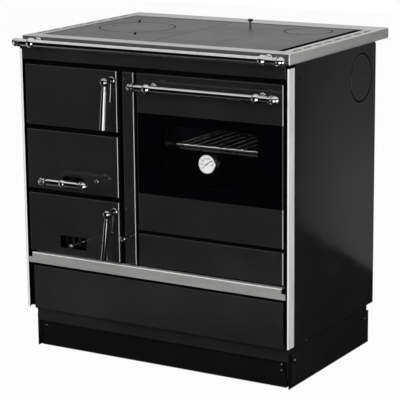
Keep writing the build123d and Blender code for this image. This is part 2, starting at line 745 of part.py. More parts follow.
with BuildPart() as back_panel:
    with BuildSketch(facing(y_back - sheet)):
        span(-x_inner, x_inner, body_floor_z + sheet, z_rim)
        with Locations((flue_x, flue_z)):
            Circle(flue_bore + flue_wall + fit_gap, mode=Mode.SUBTRACT)
        with Locations((0, drawer_z[0] + back_vent_lift), (left_middle, z_rim - back_vent_drop)):
            with GridLocations(back_vent_pitch, 1, back_vent_count, 1):
                SlotOverall(*back_vent, rotation=90, mode=Mode.SUBTRACT)
    extrude(amount=sheet)
back_panel.part.label = "back_panel"
export_step(back_panel.part, "parts/back_panel.step")

with BuildPart() as body_floor:
    with BuildSketch(level(body_floor_z)):
        span(-x_inner, x_inner, y_plate, y_panel + sheet)
    extrude(amount=sheet)
    for x in (-x_body + runner_inset, x_body - runner_inset):
        block(x - runner_width / 2, x + runner_width / 2, y_inside, y_panel,
              body_floor_z + sheet, body_floor_z + sheet + runner_height)
body_floor.part.label = "body_floor"
export_step(body_floor.part, "parts/body_floor.step")

with BuildPart() as mid_shelf:
    with BuildSketch(level(shelf_z)):
        span(-x_inner + plate_thickness, x_inner - plate_thickness, y_inside, y_panel)
    extrude(amount=sheet)
mid_shelf.part.label = "mid_shelf"
export_step(mid_shelf.part, "parts/mid_shelf.step")

# ---------------------------------------------------------------- firebox
with BuildPart() as firebox_shell:
    block(firebox_left, firebox_right, *y_firebox, casing_floor, carcass_top_z)
    block(*shell_x, y_inside, y_firebox[1] - firebox_wall, ash_floor, carcass_top_z,
          mode=Mode.SUBTRACT)
    block(shell_x[1], firebox_right, y_inside + 40, y_firebox[1] - 40, gas_outlet_z,
          carcass_top_z, mode=Mode.SUBTRACT)
firebox_shell.part.label = "firebox_shell"
export_step(firebox_shell.part, "parts/firebox_shell.step")

with BuildPart() as grate_frame:
    block(*shell_x, *y_bed, grate_under, grate_z)
    grate_open_y = (y_bed[0] + 48, y_bed[0] + 48 + grate_length + grate_travel + 1)
    block(grate_x - grate_width / 2 - 1, grate_x + grate_width / 2 + 1, *grate_open_y,
          grate_under, grate_z, mode=Mode.SUBTRACT)
    for x0, x1 in ((grate_x - grate_width / 2 - 1, grate_x - grate_width / 2 + grate_ledge[0]),
                   (grate_x + grate_width / 2 - grate_ledge[0], grate_x + grate_width / 2 + 1)):
        block(x0, x1, *grate_open_y, grate_under, grate_under + grate_ledge[1])
grate_frame.part.label = "grate_frame"
export_step(grate_frame.part, "parts/grate_frame.step")

grate_y = (grate_open_y[1] - 0.5 - grate_length, grate_open_y[1] - 0.5)
grate_bottom = grate_under + grate_ledge[1] + fit_gap
lug_width = 16.0
with BuildPart() as grate:
    with BuildSketch(level(grate_bottom)):
        span(grate_x - grate_width / 2, grate_x + grate_width / 2, *grate_y)
        slot_pitch = (grate_width - grate_bar) / grate_bars
        with Locations((grate_x, (grate_y[0] + grate_y[1]) / 2)):
            with GridLocations(slot_pitch, 1, grate_bars, 1):
                SlotOverall(grate_length - 3 * grate_bar, slot_pitch - grate_bar, rotation=90,
                            mode=Mode.SUBTRACT)
        span(grate_x - grate_width / 2 + grate_bar, grate_x + grate_width / 2 - grate_bar,
             (grate_y[0] + grate_y[1] - grate_bar) / 2, (grate_y[0] + grate_y[1] + grate_bar) / 2)
    extrude(amount=grate_z - grate_bottom)
    block(shaker_x - lug_width / 2, shaker_x + lug_width / 2, grate_y[0], grate_y[0] + 2 * grate_bar,
          shaker_z - shaker_rod - 3, grate_bottom)
    rod_y(shaker_x, shaker_z, shaker_rod + running_gap, grate_y[0], grate_y[0] + 2 * grate_bar,
          mode=Mode.SUBTRACT)
grate.part.label = "grate"
export_step(grate.part, "parts/grate.step")

with BuildPart() as firebricks:
    side_brick = (y_bed[1] - y_bed[0]) / 3
    for x0, x1 in ((shell_x[0], inner_x[0]), (inner_x[1], shell_x[1])):
        for row in range(3):
            y0 = y_bed[0] + row * side_brick
            block(x0, x1, y0 + brick_joint / 2, y0 + side_brick - brick_joint / 2, grate_z,
                  brick_top_z)
    back_brick = (inner_x[1] - inner_x[0] - brick_joint) / 2
    for row in range(2):
        x0 = inner_x[0] + brick_joint / 2 + row * back_brick
        block(x0, x0 + back_brick - brick_joint, y_bed[1] - brick_thickness, y_bed[1], grate_z,
              brick_top_z)
        block(x0, x0 + back_brick - brick_joint, y_bed[0], y_bed[0] + front_brick_thickness,
              grate_z, grate_z + front_brick_height)
firebricks.part.label = "firebricks"
export_step(firebricks.part, "parts/firebricks.step")

with BuildPart() as ash_pan:
    block(*ash_pan_x, *y_ash_pan, *ash_pan_z)
    fillet(edges().filter_by(Axis.Z), 6)
    block(ash_pan_x[0] + sheet, ash_pan_x[1] - sheet, y_ash_pan[0] + sheet, y_ash_pan[1] - sheet,
          ash_pan_z[0] + sheet, ash_pan_z[1], mode=Mode.SUBTRACT)
    with BuildSketch(facing(y_ash_pan[0])):
        with Locations((left_middle, ash_pan_z[1] - 16)):
            SlotOverall(70, 14)
            SlotOverall(60, 8, mode=Mode.SUBTRACT)
    extrude(amount=3)
ash_pan.part.label = "ash_pan"
export_step(ash_pan.part, "parts/ash_pan.step")

# ---------------------------------------------------------------- shaker with its T handle
y_tee = y_face - shaker_reach
with BuildPart() as shaker_handle:
    turned_bar(shaker_bar_half, shaker_x, y_tee, shaker_z)
    with Locations((shaker_x, y_tee, shaker_z)):
        Sphere(finial_radius)
    rod_y(shaker_x, shaker_z, shaker_rod, y_tee, grate_y[0] + 2 * grate_bar - fit_gap)
shaker_handle.part.label = "shaker_handle"
export_step(shaker_handle.part, "parts/shaker_handle.step")

# ---------------------------------------------------------------- oven and gas ways
with BuildPart() as flue_casing:
    block(firebox_right, casing_right, *y_casing, casing_floor, carcass_top_z)
    block(firebox_right + casing_wall, casing_right - casing_wall, y_inside,
          y_casing[1] - casing_wall, casing_floor + casing_wall, carcass_top_z,
          mode=Mode.SUBTRACT)
    block(firebox_right, firebox_right + casing_wall, y_inside + 40, y_firebox[1] - 40,
          gas_outlet_z, carcass_top_z, mode=Mode.SUBTRACT)
    rod_y(flue_x, flue_z, flue_bore + flue_wall + running_gap, y_casing[1] - casing_wall,
          y_casing[1], mode=Mode.SUBTRACT)
    rod_x(y_back - blank_inset, flue_z, flue_bore, casing_right - casing_wall, casing_right,
          mode=Mode.SUBTRACT)
flue_casing.part.label = "flue_casing"
export_step(flue_casing.part, "parts/flue_casing.step")

with BuildPart() as oven_box:
    block(oven_x[0] - oven_wall, oven_x[1] + oven_wall, *y_oven, oven_z[0] - oven_wall, oven_top)
    block(*oven_x, y_oven[0], y_oven[1] - oven_wall, *oven_z, mode=Mode.SUBTRACT)
    for guide in (-1, 0, 1):
        guide_top = rack_z - rack_wire - fit_gap + guide * guide_pitch
        for x0, x1 in ((oven_x[0], oven_x[0] + guide_reach), (oven_x[1] - guide_reach, oven_x[1])):
            block(x0, x1, y_oven[0] + 30, y_oven[1] - oven_wall, guide_top - guide_height,
                  guide_top)
oven_box.part.label = "oven_box"
export_step(oven_box.part, "parts/oven_box.step")

drop_x = (rack_x[0] + 14, rack_x[1] - 14)
with BuildPart() as oven_rack:
    for y in y_rack:
        rod_x(y, rack_z, rack_wire, *rack_x)
    for x in (rack_x[0] + rack_wire + 1, rack_x[1] - rack_wire - 1):
        rod_y(x, rack_z, rack_wire - 0.4, *y_rack)
    rod_x(y_rack[0], rack_z - rack_drop, rack_rod + 0.5, drop_x[0] - 4, drop_x[1] + 4)
    for x in drop_x:
        rod_z(x, y_rack[0], rack_rod, rack_z - rack_drop, rack_z)
    for rod in range(rack_rods):
        x = oven_middle + (rod - (rack_rods - 1) / 2) * rack_pitch
        rod_y(x, rack_z + rack_rod - 0.5, rack_rod, *y_rack)
oven_rack.part.label = "oven_rack"
export_step(oven_rack.part, "parts/oven_rack.step")

window_at = (damper_x + damper_window_offset[0], y_inside + damper_window_offset[1])
damper_window_x = (window_at[0] - damper_window[0] / 2, window_at[0] + damper_window[0] / 2)
damper_window_y = (window_at[1] - damper_window[1] / 2, window_at[1] + damper_window[1] / 2)
with BuildPart() as flue_guides:
    block(oven_middle, oven_middle + oven_wall, y_inside, y_oven[1] - 70,
          casing_floor + casing_wall, oven_z[0] - oven_wall)
    block(firebox_right + casing_wall, oven_middle, *y_oven, seat_z, seat_z + oven_wall)
    block(*damper_window_x, *damper_window_y, seat_z, seat_z + oven_wall, mode=Mode.SUBTRACT)
flue_guides.part.label = "flue_guides"
export_step(flue_guides.part, "parts/flue_guides.step")

with BuildPart() as flue_hood:
    block(hood_x, hood_x + hood_wall, y_hood, y_casing[1] - casing_wall, oven_top, z_hob_under)
    block(hood_x, casing_right - casing_wall, y_hood, y_hood + hood_wall, oven_top,
          carcass_top_z)
    block(hood_x, rim_open_half - hob_expansion - support_ledge, y_hood, y_hood + hood_wall,
          carcass_top_z, z_hob_under)
    block(hood_x, hood_x + hood_wall, start_y - gate_half + window_inset,
          start_y + gate_half - window_inset, gate_z[0] + window_inset,
          gate_z[1] - window_inset, mode=Mode.SUBTRACT)
    for edge in (-gate_half - 5 - fit_gap, gate_half + fit_gap):
        block(hood_x - gate_thickness - 2 * fit_gap - 1, hood_x, start_y + edge,
              start_y + edge + 5, gate_z[0] - 12, z_hob_under - 4)
flue_hood.part.label = "flue_hood"
export_step(flue_hood.part, "parts/flue_hood.step")

with BuildPart() as start_damper:
    block(hood_x - fit_gap - gate_thickness, hood_x - fit_gap, start_y - gate_half,
          start_y + gate_half, *gate_z)
    rod_z(start_x, start_y, start_rod, gate_z[1] - 20, z_hob + start_stem + 5)
start_damper.part.label = "start_damper"
export_step(start_damper.part, "parts/start_damper.step")

knob_z = z_hob + start_stem
with BuildPart() as start_damper_knob:
    with BuildSketch(Plane(origin=(start_x, start_y, knob_z), x_dir=(1, 0, 0),
                           z_dir=(0, -1, 0))):
        with BuildLine():
            Polyline((0, 0), (start_knob_radius - 1.5, 0), (start_knob_radius, 1.5),
                     (start_knob_radius, start_knob_height - 2.5),
                     (start_knob_radius - 1, start_knob_height - 0.7),
                     (start_knob_radius - 3, start_knob_height),
                     (0, start_knob_height), (0, 0))
        make_face()
    revolve(axis=Axis((start_x, start_y, knob_z), (0, 0, 1)))
    rod_z(start_x, start_y, start_rod, knob_z, knob_z + 5, mode=Mode.SUBTRACT)
start_damper_knob.part.label = "start_damper_knob"
export_step(start_damper_knob.part, "parts/start_damper_knob.step")

flap_z = seat_z + oven_wall + fit_gap
y_flap = (damper_window_y[0] - damper_overlap, damper_window_y[1] + damper_overlap)
with BuildPart() as oven_damper:
    block(damper_window_x[0] - damper_overlap, damper_window_x[1] + damper_overlap, *y_flap,
          flap_z, damper_z - damper_rod + 1)
    rod_y(damper_x, damper_z, damper_rod, y_face - damper_reach, y_flap[1] - 10)
    with BuildSketch(Plane(origin=(damper_x, y_face - damper_reach, damper_z), x_dir=(1, 0, 0),
                           z_dir=(0, 0, 1))):
        with BuildLine():
            Polyline((0, 0), (damper_rod + 1, 0), (damper_knob, -4), (damper_knob, -11),
                     (damper_knob - 2.2, -12), (damper_knob - 3, -9.5), (0, -9.5), close=True)
        make_face()
    revolve(axis=Axis((damper_x, y_face - damper_reach, damper_z), (0, 1, 0)))
oven_damper.part.label = "oven_damper"
export_step(oven_damper.part, "parts/oven_damper.step")

with BuildPart() as rear_flue_collar:
    rod_y(flue_x, flue_z, flue_bore + flue_wall, y_casing[1] - casing_wall, collar_back)
    rod_y(flue_x, flue_z, collar_flange, y_back - sheet, y_back - sheet + 2.5)
    rod_y(flue_x, flue_z, flue_bore, y_casing[1] - casing_wall, collar_back, mode=Mode.SUBTRACT)
rear_flue_collar.part.label = "rear_flue_collar"
export_step(rear_flue_collar.part, "parts/rear_flue_collar.step")

with BuildPart() as side_flue_blank:
    rod_x(y_back - blank_inset, flue_z, flue_bore, casing_right, x_body)
    rod_x(y_back - blank_inset, flue_z, flue_bore - 2, casing_right, x_body - sheet,
          mode=Mode.SUBTRACT)
    rod_x(y_back - blank_inset, flue_z, blank_radius, x_body - sheet, x_body)
    fillet(faces().sort_by(Axis.X)[-1].edges(), sheet - 0.5)
side_flue_blank.part.label = "side_flue_blank"
export_step(side_flue_blank.part, "parts/side_flue_blank.step")

with BuildPart() as insulation_boards:
    block(-x_inner + 1, firebox_left - fit_gap, side_front + 40, y_casing[1] - 15, casing_floor,
          gas_outlet_z + 50)
    block(casing_right + fit_gap, x_inner - 1, side_front + 40, y_casing[1] - 15, casing_floor,
          gas_outlet_z + 50)
    rod_x(y_back - blank_inset, flue_z, blank_radius + blank_ring + 1, casing_right, x_inner,
          mode=Mode.SUBTRACT)
insulation_boards.part.label = "insulation_boards"
export_step(insulation_boards.part, "parts/insulation_boards.step")

# ---------------------------------------------------------------- left-hand doors
def latch_handle(z, lean):
    """Turning latch: grip, ball, rosette and tail in front, spindle, and finger behind the door."""
    axis_y = y_face - bar_reach
    tilt = radians(lean)
    across = (cos(tilt), 0, -sin(tilt))
    grip_plane = Plane(origin=(handle_x, axis_y, z), x_dir=across, z_dir=(0, -1, 0))
    with BuildSketch(grip_plane) as profile:
        with BuildLine():
            Polyline((0, 0), (0, -grip_length), (grip_end_radius - 1, -grip_length),
                     (grip_end_radius, -grip_length + 1), (grip_top_radius, -22),
                     (grip_top_radius - 1.6, -21), (grip_top_radius - 1.6, 0), close=True)
        make_face()
    revolve(profile.sketch, axis=Axis((handle_x, axis_y, z), (-sin(tilt), 0, -cos(tilt))))
    with Locations((handle_x, axis_y, z)):
        Sphere(ball_radius)
    rod_y(handle_x, z, spindle_radius, axis_y, y_face + pan_depth + 0.5 + finger_thickness)
    y_rosette = y_face - fit_gap
    with BuildSketch(Plane(origin=(handle_x, y_rosette, z), x_dir=(1, 0, 0),
                           z_dir=(0, 0, 1))) as boss:
        with BuildLine():
            Polyline((0, 0), (rosette_radius, 0), (rosette_radius, -2.5))
            ThreePointArc((rosette_radius, -2.5), (rosette_radius - 0.9, -6), (8, -8))
            Polyline((8, -8), (6.5, -rosette_depth), (0, -rosette_depth), (0, 0))
        make_face()
    revolve(boss.sketch, axis=Axis((handle_x, y_rosette, z), (0, 1, 0)))
    tail_end = (handle_x - stem_length * sin(tilt), y_rosette - rosette_depth / 2,
                z - stem_length * cos(tilt))
    with BuildSketch(Plane(origin=(handle_x, tail_end[1], z),
                           z_dir=(-sin(tilt), 0, -cos(tilt)))) as tail:
        Circle(stem_radius)
    extrude(tail.sketch, amount=stem_length)
    with Locations(tail_end):
        Sphere(bead_radius)
    with BuildSketch(Plane(origin=(handle_x, y_face + pan_depth + 0.5, z), x_dir=across,
                           z_dir=(0, 1, 0))) as finger:
        with Locations((finger_length / 2, 0)):
            SlotOverall(finger_length + finger_height, finger_height)
    extrude(finger.sketch, amount=finger_thickness)


def door_pan(z_range, handle_z):
    """Left-hand door front with pin holes in its folds and a hole for the latch spindle."""
    folded_pan(left_door, z_range)
    rod_y(handle_x, handle_z, spindle_radius + running_gap, y_face, y_face + pan_sheet,
          mode=Mode.SUBTRACT)
    for z0, z1 in ((z_range[0], z_range[0] + pin_length + 2),
                   (z_range[1] - pin_length - 2, z_range[1])):
        block(left_door[0] + pan_sheet, hinge_x + pin_radius + 3, y_face + pan_sheet,
              y_face + pan_depth, z0, z1)
        rod_z(hinge_x, y_pivot, pin_radius + running_gap, z0, z1, mode=Mode.SUBTRACT)


def door_liner(z_range):
    """Cast inner plate that closes the opening, on four bosses behind the door front."""
    x0, x1 = left_door[0] + liner_inset, left_door[1] - liner_inset
    z0, z1 = z_range[0] + 13, z_range[1] - 13
    block(x0, x1, y_face + pan_depth, y_liner, z0, z1)
    for x in (x0 + 15, x1 - 15):
        for z in (z0 + 62, z1 - 12):
            rod_y(x, z, boss_radius, y_face + pan_sheet, y_face + pan_depth)


with BuildPart() as fire_door:
    door_pan(fire_z, fire_handle_z)
fire_door.part.label = "fire_door"
export_step(fire_door.part, "parts/fire_door.step")

with BuildPart() as fire_door_liner:
    door_liner(fire_z)
    with BuildSketch(facing(y_face + pan_depth + liner_thickness)):
        with Locations((left_middle, fire_z[0] + wash_slot_lift)):
            with GridLocations(wash_slot_pitch, 1, wash_slot_count, 1):
                SlotOverall(*wash_slot, rotation=90)
    extrude(amount=liner_thickness, mode=Mode.SUBTRACT)
fire_door_liner.part.label = "fire_door_liner"
export_step(fire_door_liner.part, "parts/fire_door_liner.step")

with BuildPart() as fire_door_handle:
    latch_handle(fire_handle_z, fire_handle_lean)
fire_door_handle.part.label = "fire_door_handle"
export_step(fire_door_handle.part, "parts/fire_door_handle.step")

shutter_guide_x = (left_door[0] + shutter_guide_inset[0], handle_x - shutter_guide_inset[1])
with BuildPart() as ash_door:
    door_pan(ash_z, ash_handle_z)
    with BuildSketch(facing(y_face + pan_sheet)):
        with Locations(air_slot_at):
            RectangleRounded(*air_slot, 3)
    extrude(amount=pan_sheet, mode=Mode.SUBTRACT)
    for sign in (-1, 1):
        z_edge = air_slot_at[1] + sign * (shutter_half_height + fit_gap)
        z0, z1 = sorted((z_edge, z_edge + sign * 3))
        block(*shutter_guide_x, y_face + pan_sheet,
              shutter_y + shutter_thickness + fit_gap, z0, z1)
        z0, z1 = sorted((z_edge - sign * 4, z_edge + sign * 3))
        block(*shutter_guide_x, shutter_y + shutter_thickness + fit_gap,
              shutter_y + shutter_thickness + fit_gap + sheet, z0, z1)
ash_door.part.label = "ash_door"
export_step(ash_door.part, "parts/ash_door.step")

with BuildPart() as ash_door_liner:
    door_liner(ash_z)
    with BuildSketch(facing(y_face + pan_depth + liner_thickness)):
        with Locations(air_slot_at):
            with GridLocations(air_port_pitch, 1, air_port_count, 1):
                SlotOverall(*air_port, rotation=90)
    extrude(amount=liner_thickness, mode=Mode.SUBTRACT)
ash_door_liner.part.label = "ash_door_liner"
export_step(ash_door_liner.part, "parts/ash_door_liner.step")

with BuildPart() as ash_door_handle:
    latch_handle(ash_handle_z, ash_handle_lean)
ash_door_handle.part.label = "ash_door_handle"
export_step(ash_door_handle.part, "parts/ash_door_handle.step")

with BuildPart() as air_slider:
    block(*shutter_x, shutter_y, shutter_y + shutter_thickness,
          air_slot_at[1] - shutter_half_height, air_slot_at[1] + shutter_half_height)
    rod_y(air_lever_x, air_lever_z, air_lever_rod, y_face - air_lever_reach, shutter_y)
    rod_y(air_lever_x, air_lever_z, 6, y_face - 7, y_face - 1)
    with Locations((air_lever_x, y_face - air_lever_reach, air_lever_z)):
        Sphere(air_lever_ball)
air_slider.part.label = "air_slider"
export_step(air_slider.part, "parts/air_slider.step")

keeper_drop = 0.7               # keeper edge above the finger as it rests
with BuildPart() as door_brackets:
    for z_range in (fire_z, ash_z):
        for z_edge, up in ((z_range[1] + lug_clear, 1), (z_range[0] - lug_clear, -1)):
            z0, z1 = sorted((z_edge, z_edge + up * lug_thickness))
            block(hinge_x - 5, hinge_x + 9, y_pivot - 5, y_plate, z0, z1)
            z0, z1 = sorted((z_edge, z_edge - up * (lug_clear + pin_length)))
            rod_z(hinge_x, y_pivot, pin_radius, z0, z1)
    for z, lean in ((fire_handle_z, fire_handle_lean),
                    (ash_handle_z, ash_handle_lean)):
        keeper_x = (left_door[1] + 3, left_door[1] + 12)
        finger_top = finger_height / 2 - (keeper_x[0] - handle_x) * sin(radians(lean))
        keeper_z = z + finger_top + keeper_drop
        block(*keeper_x, y_face + pan_depth - 4, y_plate, keeper_z + 6, keeper_z + 14)
        block(*keeper_x, y_face + pan_depth - 4, y_face + pan_depth, keeper_z, keeper_z + 6)
    for edge, out in ((oven_door_x[0] - lug_clear, -1), (oven_door_x[1] + lug_clear, 1)):
        x0, x1 = sorted((edge, edge + out * lug_thickness))
        block(x0, x1, y_pivot - 5, y_plate, oven_pivot_z - 5, oven_pivot_z + 9)
        x0, x1 = sorted((edge, edge - out * (lug_clear + pin_length)))
        rod_x(y_pivot, oven_pivot_z, pin_radius, x0, x1)
door_brackets.part.label = "door_brackets"
export_step(door_brackets.part, "parts/door_brackets.step")

# ---------------------------------------------------------------- oven door
with BuildPart() as oven_door:
    folded_pan(oven_door_x, oven_door_z)
    block(oven_door_x[0] + pan_sheet, oven_door_x[1] - pan_sheet, y_face, y_face + pan_sheet,
          *glass_z, mode=Mode.SUBTRACT)
    for x0, x1 in ((oven_door_x[0], oven_door_x[0] + pin_length + 2),
                   (oven_door_x[1] - pin_length - 2, oven_door_x[1])):
        block(x0, x1, y_face + pan_sheet, y_face + pan_depth, oven_door_z[0] + pan_sheet,
              oven_pivot_z + pin_radius + 3)
        rod_x(y_pivot, oven_pivot_z, pin_radius + running_gap, x0, x1, mode=Mode.SUBTRACT)
oven_door.part.label = "oven_door"
export_step(oven_door.part, "parts/oven_door.step")

with BuildPart() as oven_glass:
    block(oven_door_x[0] + pan_sheet + fit_gap, oven_door_x[1] - pan_sheet - fit_gap, *glass_y,
          glass_z[0] + fit_gap, glass_z[1] - fit_gap)
    rod_y(oven_middle, thermo_z, thermo_hole, *glass_y, mode=Mode.SUBTRACT)
oven_glass.part.label = "oven_glass"
export_step(oven_glass.part, "parts/oven_glass.step")

liner_x = (oven_door_x[0] + liner_inset, oven_door_x[1] - liner_inset)
liner_z = (oven_door_z[0] + liner_inset, oven_door_z[1] - liner_inset)
liner_y = (y_face + pan_depth, y_face + pan_depth + liner_thickness)
rope_x = (oven_x[0] - 14, oven_x[1] + 14)
rope_z = (oven_z[0] - 14, oven_z[1] + 14)
with BuildPart() as oven_door_liner:
    block(*liner_x, *liner_y, *liner_z)
    block(window_x[0] - tunnel_wall, window_x[1] + tunnel_wall, glass_y[1], liner_y[0],
          window_z[0] - tunnel_wall, window_z[1] + tunnel_wall)
    block(*window_x, glass_y[1], liner_y[1], *window_z, mode=Mode.SUBTRACT)
    for x in (liner_x[0] + 18, liner_x[1] - 18):
        for z in (liner_z[0] + 18, liner_z[1] - 18):
            rod_y(x, z, boss_radius, y_face + pan_sheet, liner_y[0])
    with BuildSketch(facing(liner_y[1])):
        span(*rope_x, *rope_z)
        span(rope_x[0] + rope_width, rope_x[1] - rope_width, rope_z[0] + rope_width,
             rope_z[1] - rope_width, mode=Mode.SUBTRACT)
    extrude(amount=rope_groove, mode=Mode.SUBTRACT)
oven_door_liner.part.label = "oven_door_liner"
export_step(oven_door_liner.part, "parts/oven_door_liner.step")

with BuildPart() as oven_door_seal:
    with BuildSketch(facing(liner_y[1] + rope_proud)):
        span(*rope_x, *rope_z)
        span(rope_x[0] + rope_width, rope_x[1] - rope_width, rope_z[0] + rope_width,
             rope_z[1] - rope_width, mode=Mode.SUBTRACT)
    extrude(amount=rope_groove + rope_proud)
oven_door_seal.part.label = "oven_door_seal"
export_step(oven_door_seal.part, "parts/oven_door_seal.step")

with BuildPart() as oven_handle_bar:
    turned_bar(oven_bar_half, oven_middle, y_face - bar_reach, oven_bar_z)
oven_handle_bar.part.label = "oven_handle_bar"
export_step(oven_handle_bar.part, "parts/oven_handle_bar.step")

with BuildPart() as oven_handle_brackets:
    for sign in (-1, 1):
        ball_stand(oven_middle + sign * (oven_bar_half - bracket_inset - 1), y_face, oven_bar_z)
oven_handle_brackets.part.label = "oven_handle_brackets"
export_step(oven_handle_brackets.part, "parts/oven_handle_brackets.step")

# ---------------------------------------------------------------- thermometer
with BuildPart() as thermometer_case:
    with BuildSketch(Plane(origin=(oven_middle, glass_y[0], thermo_z), x_dir=(1, 0, 0),
                           z_dir=(0, 0, 1))):
        with BuildLine():
            Polyline((0, glass_thickness), (0, -thermo_depth + dial_recess),
                     (thermo_radius - bezel_wall, -thermo_depth + dial_recess),
                     (thermo_radius - bezel_wall, -thermo_depth + 0.5),
                     (thermo_radius - bezel_wall + 0.5, -thermo_depth))
            ThreePointArc((thermo_radius - bezel_wall + 0.5, -thermo_depth),
                          (thermo_radius, -thermo_depth / 2 - 0.5), (thermo_radius - bezel_wall, -1))
            Polyline((thermo_radius - bezel_wall, -1), (thermo_radius - 4, 0),
                     (thermo_hole - 0.5, 0), (thermo_hole - 0.5, glass_thickness),
                     (0, glass_thickness))
        make_face()
    revolve(axis=Axis((oven_middle, glass_y[0], thermo_z), (0, 1, 0)))
    with BuildSketch(Plane(origin=(oven_middle, glass_y[1], thermo_z), x_dir=(1, 0, 0),
                           z_dir=(0, 0, 1))):
        with BuildLine():
            Polyline((0, 0), (11.5, 0), (11.5, 6), (8, 7), (8, 14), (11, 15), (11, 22), (9, 24),
                     (0, 24), close=True)
        make_face()
    revolve(axis=Axis((oven_middle, glass_y[1], thermo_z), (0, 1, 0)))
thermometer_case.part.label = "thermometer_case"
export_step(thermometer_case.part, "parts/thermometer_case.step")

dial_y = glass_y[0] - thermo_depth + dial_recess
with BuildPart() as thermometer_dial:
    rod_y(oven_middle, thermo_z, thermo_radius - bezel_wall - 0.1, dial_y - dial_thickness, dial_y)
    rod_y(oven_middle, thermo_z, needle_pivot, dial_y - dial_thickness - 0.9,
          dial_y - dial_thickness)
thermometer_dial.part.label = "thermometer_dial"
export_step(thermometer_dial.part, "parts/thermometer_dial.step")

needle_lift = radians(needle_angle)
needle_plane = Plane(origin=(oven_middle, dial_y - dial_thickness - fit_gap, thermo_z),
                     x_dir=(cos(needle_lift), 0, sin(needle_lift)), z_dir=(0, -1, 0))
with BuildPart() as thermometer_needle:
    with BuildSketch(needle_plane):
        with BuildLine():
            Polyline((-8, -1.1), (14, -0.7), (19, 0), (14, 0.7), (-8, 1.1), close=True)
        make_face()
        Circle(2.4)
        Circle(needle_pivot + running_gap, mode=Mode.SUBTRACT)
    extrude(amount=0.5)
thermometer_needle.part.label = "thermometer_needle"
export_step(thermometer_needle.part, "parts/thermometer_needle.step")

# ---------------------------------------------------------------- wood drawer
with BuildPart() as drawer_front:
    folded_pan(drawer_front_x, drawer_z)
drawer_front.part.label = "drawer_front"
export_step(drawer_front.part, "parts/drawer_front.step")

with BuildPart() as drawer_box:
    block(*box_x, *box_y, *box_z)
    block(box_x[0] + drawer_wall, box_x[1] - drawer_wall, box_y[0] + drawer_wall,
          box_y[1] - drawer_wall, box_z[0] + drawer_wall, box_z[1], mode=Mode.SUBTRACT)
drawer_box.part.label = "drawer_box"
export_step(drawer_box.part, "parts/drawer_box.step")

# ---------------------------------------------------------------- plinth, feet
with BuildPart() as base_frame:
    block(-plinth_half, plinth_half, *y_plinth, plinth_bottom_z, body_floor_z)
    block(-plinth_half + sheet, plinth_half - sheet, y_plinth[0] + sheet, y_plinth[1] - sheet,
          plinth_bottom_z, body_floor_z - sheet, mode=Mode.SUBTRACT)
    block(-plinth_half + leg_width, plinth_half - leg_width, y_plinth[0] + leg_width,
          y_plinth[1] - leg_width, body_floor_z - sheet, body_floor_z, mode=Mode.SUBTRACT)
    for x, y in foot_places:
        sx = 1 if x > 0 else -1
        sy = 1 if y > (y_plinth[0] + y_plinth[1]) / 2 else -1
        y_wall = y_plinth[1] - sheet if sy > 0 else y_plinth[0] + sheet
        x0, x1 = sorted((sx * (plinth_half - sheet), sx * (plinth_half - sheet - foot_plate[0])))
        y0, y1 = sorted((y_wall, y_wall - sy * foot_plate[1]))
        block(x0, x1, y0, y1, foot_plate_z, foot_plate_z + foot_plate[2])
        rod_z(x, y, foot_stud_radius + running_gap, foot_plate_z, foot_plate_z + foot_plate[2],
              mode=Mode.SUBTRACT)
        leg_x = sorted((sx * (plinth_half - sheet), sx * (plinth_half - sheet - 2)))
        leg_run = sorted((y_wall, y_wall - sy * leg_width))
        block(*leg_x, *leg_run, leg_bottom_z, foot_plate_z)
base_frame.part.label = "base_frame"
export_step(base_frame.part, "parts/base_frame.step")

with BuildPart() as plinth_skirt:
    block(*skirt_front_x, y_skirt, y_skirt + sheet, 0, plinth_bottom_z - fit_gap)
    for x0 in (skirt_front_x[0], skirt_front_x[1] - sheet):
        block(x0, x0 + sheet, y_skirt, y_skirt + 25, 0, plinth_bottom_z - fit_gap)
    for x0, x1 in ((-plinth_half - sheet, -plinth_half), (plinth_half, plinth_half + sheet)):
        block(x0, x1, *side_skirt_y, 0, plinth_bottom_z + skirt_rise)
        block(x0, x1, side_skirt_y[0], side_skirt_y[0] + skirt_front_tab, plinth_bottom_z + skirt_rise,
              plinth_bottom_z + skirt_rise + skirt_tab_height)
        block(x0, x1, side_skirt_y[1] - skirt_back_tab, side_skirt_y[1], plinth_bottom_z + skirt_rise,
              plinth_bottom_z + skirt_rise + skirt_tab_height)
plinth_skirt.part.label = "plinth_skirt"
export_step(plinth_skirt.part, "parts/plinth_skirt.step")

with BuildPart() as levelling_feet:
    for x, y in foot_places:
        with BuildSketch(Plane(origin=(x, y, 0), x_dir=(1, 0, 0), z_dir=(0, -1, 0))):
            with BuildLine():
                Polyline((0, 0), (foot_pad_radius, 0), (foot_pad_radius, 3),
                         (foot_pad_radius - 8, foot_pad_height), (foot_stud_radius, foot_pad_height),
                         (foot_stud_radius, foot_plate_z - 6), (9, foot_plate_z - 6),
                         (9, foot_plate_z), (foot_stud_radius, foot_plate_z),
                         (foot_stud_radius, foot_plate_z + 12), (0, foot_plate_z + 12), close=True)
            make_face()
        revolve(axis=Axis((x, y, 0), (0, 0, 1)))
levelling_feet.part.label = "levelling_feet"
export_step(levelling_feet.part, "parts/levelling_feet.step")

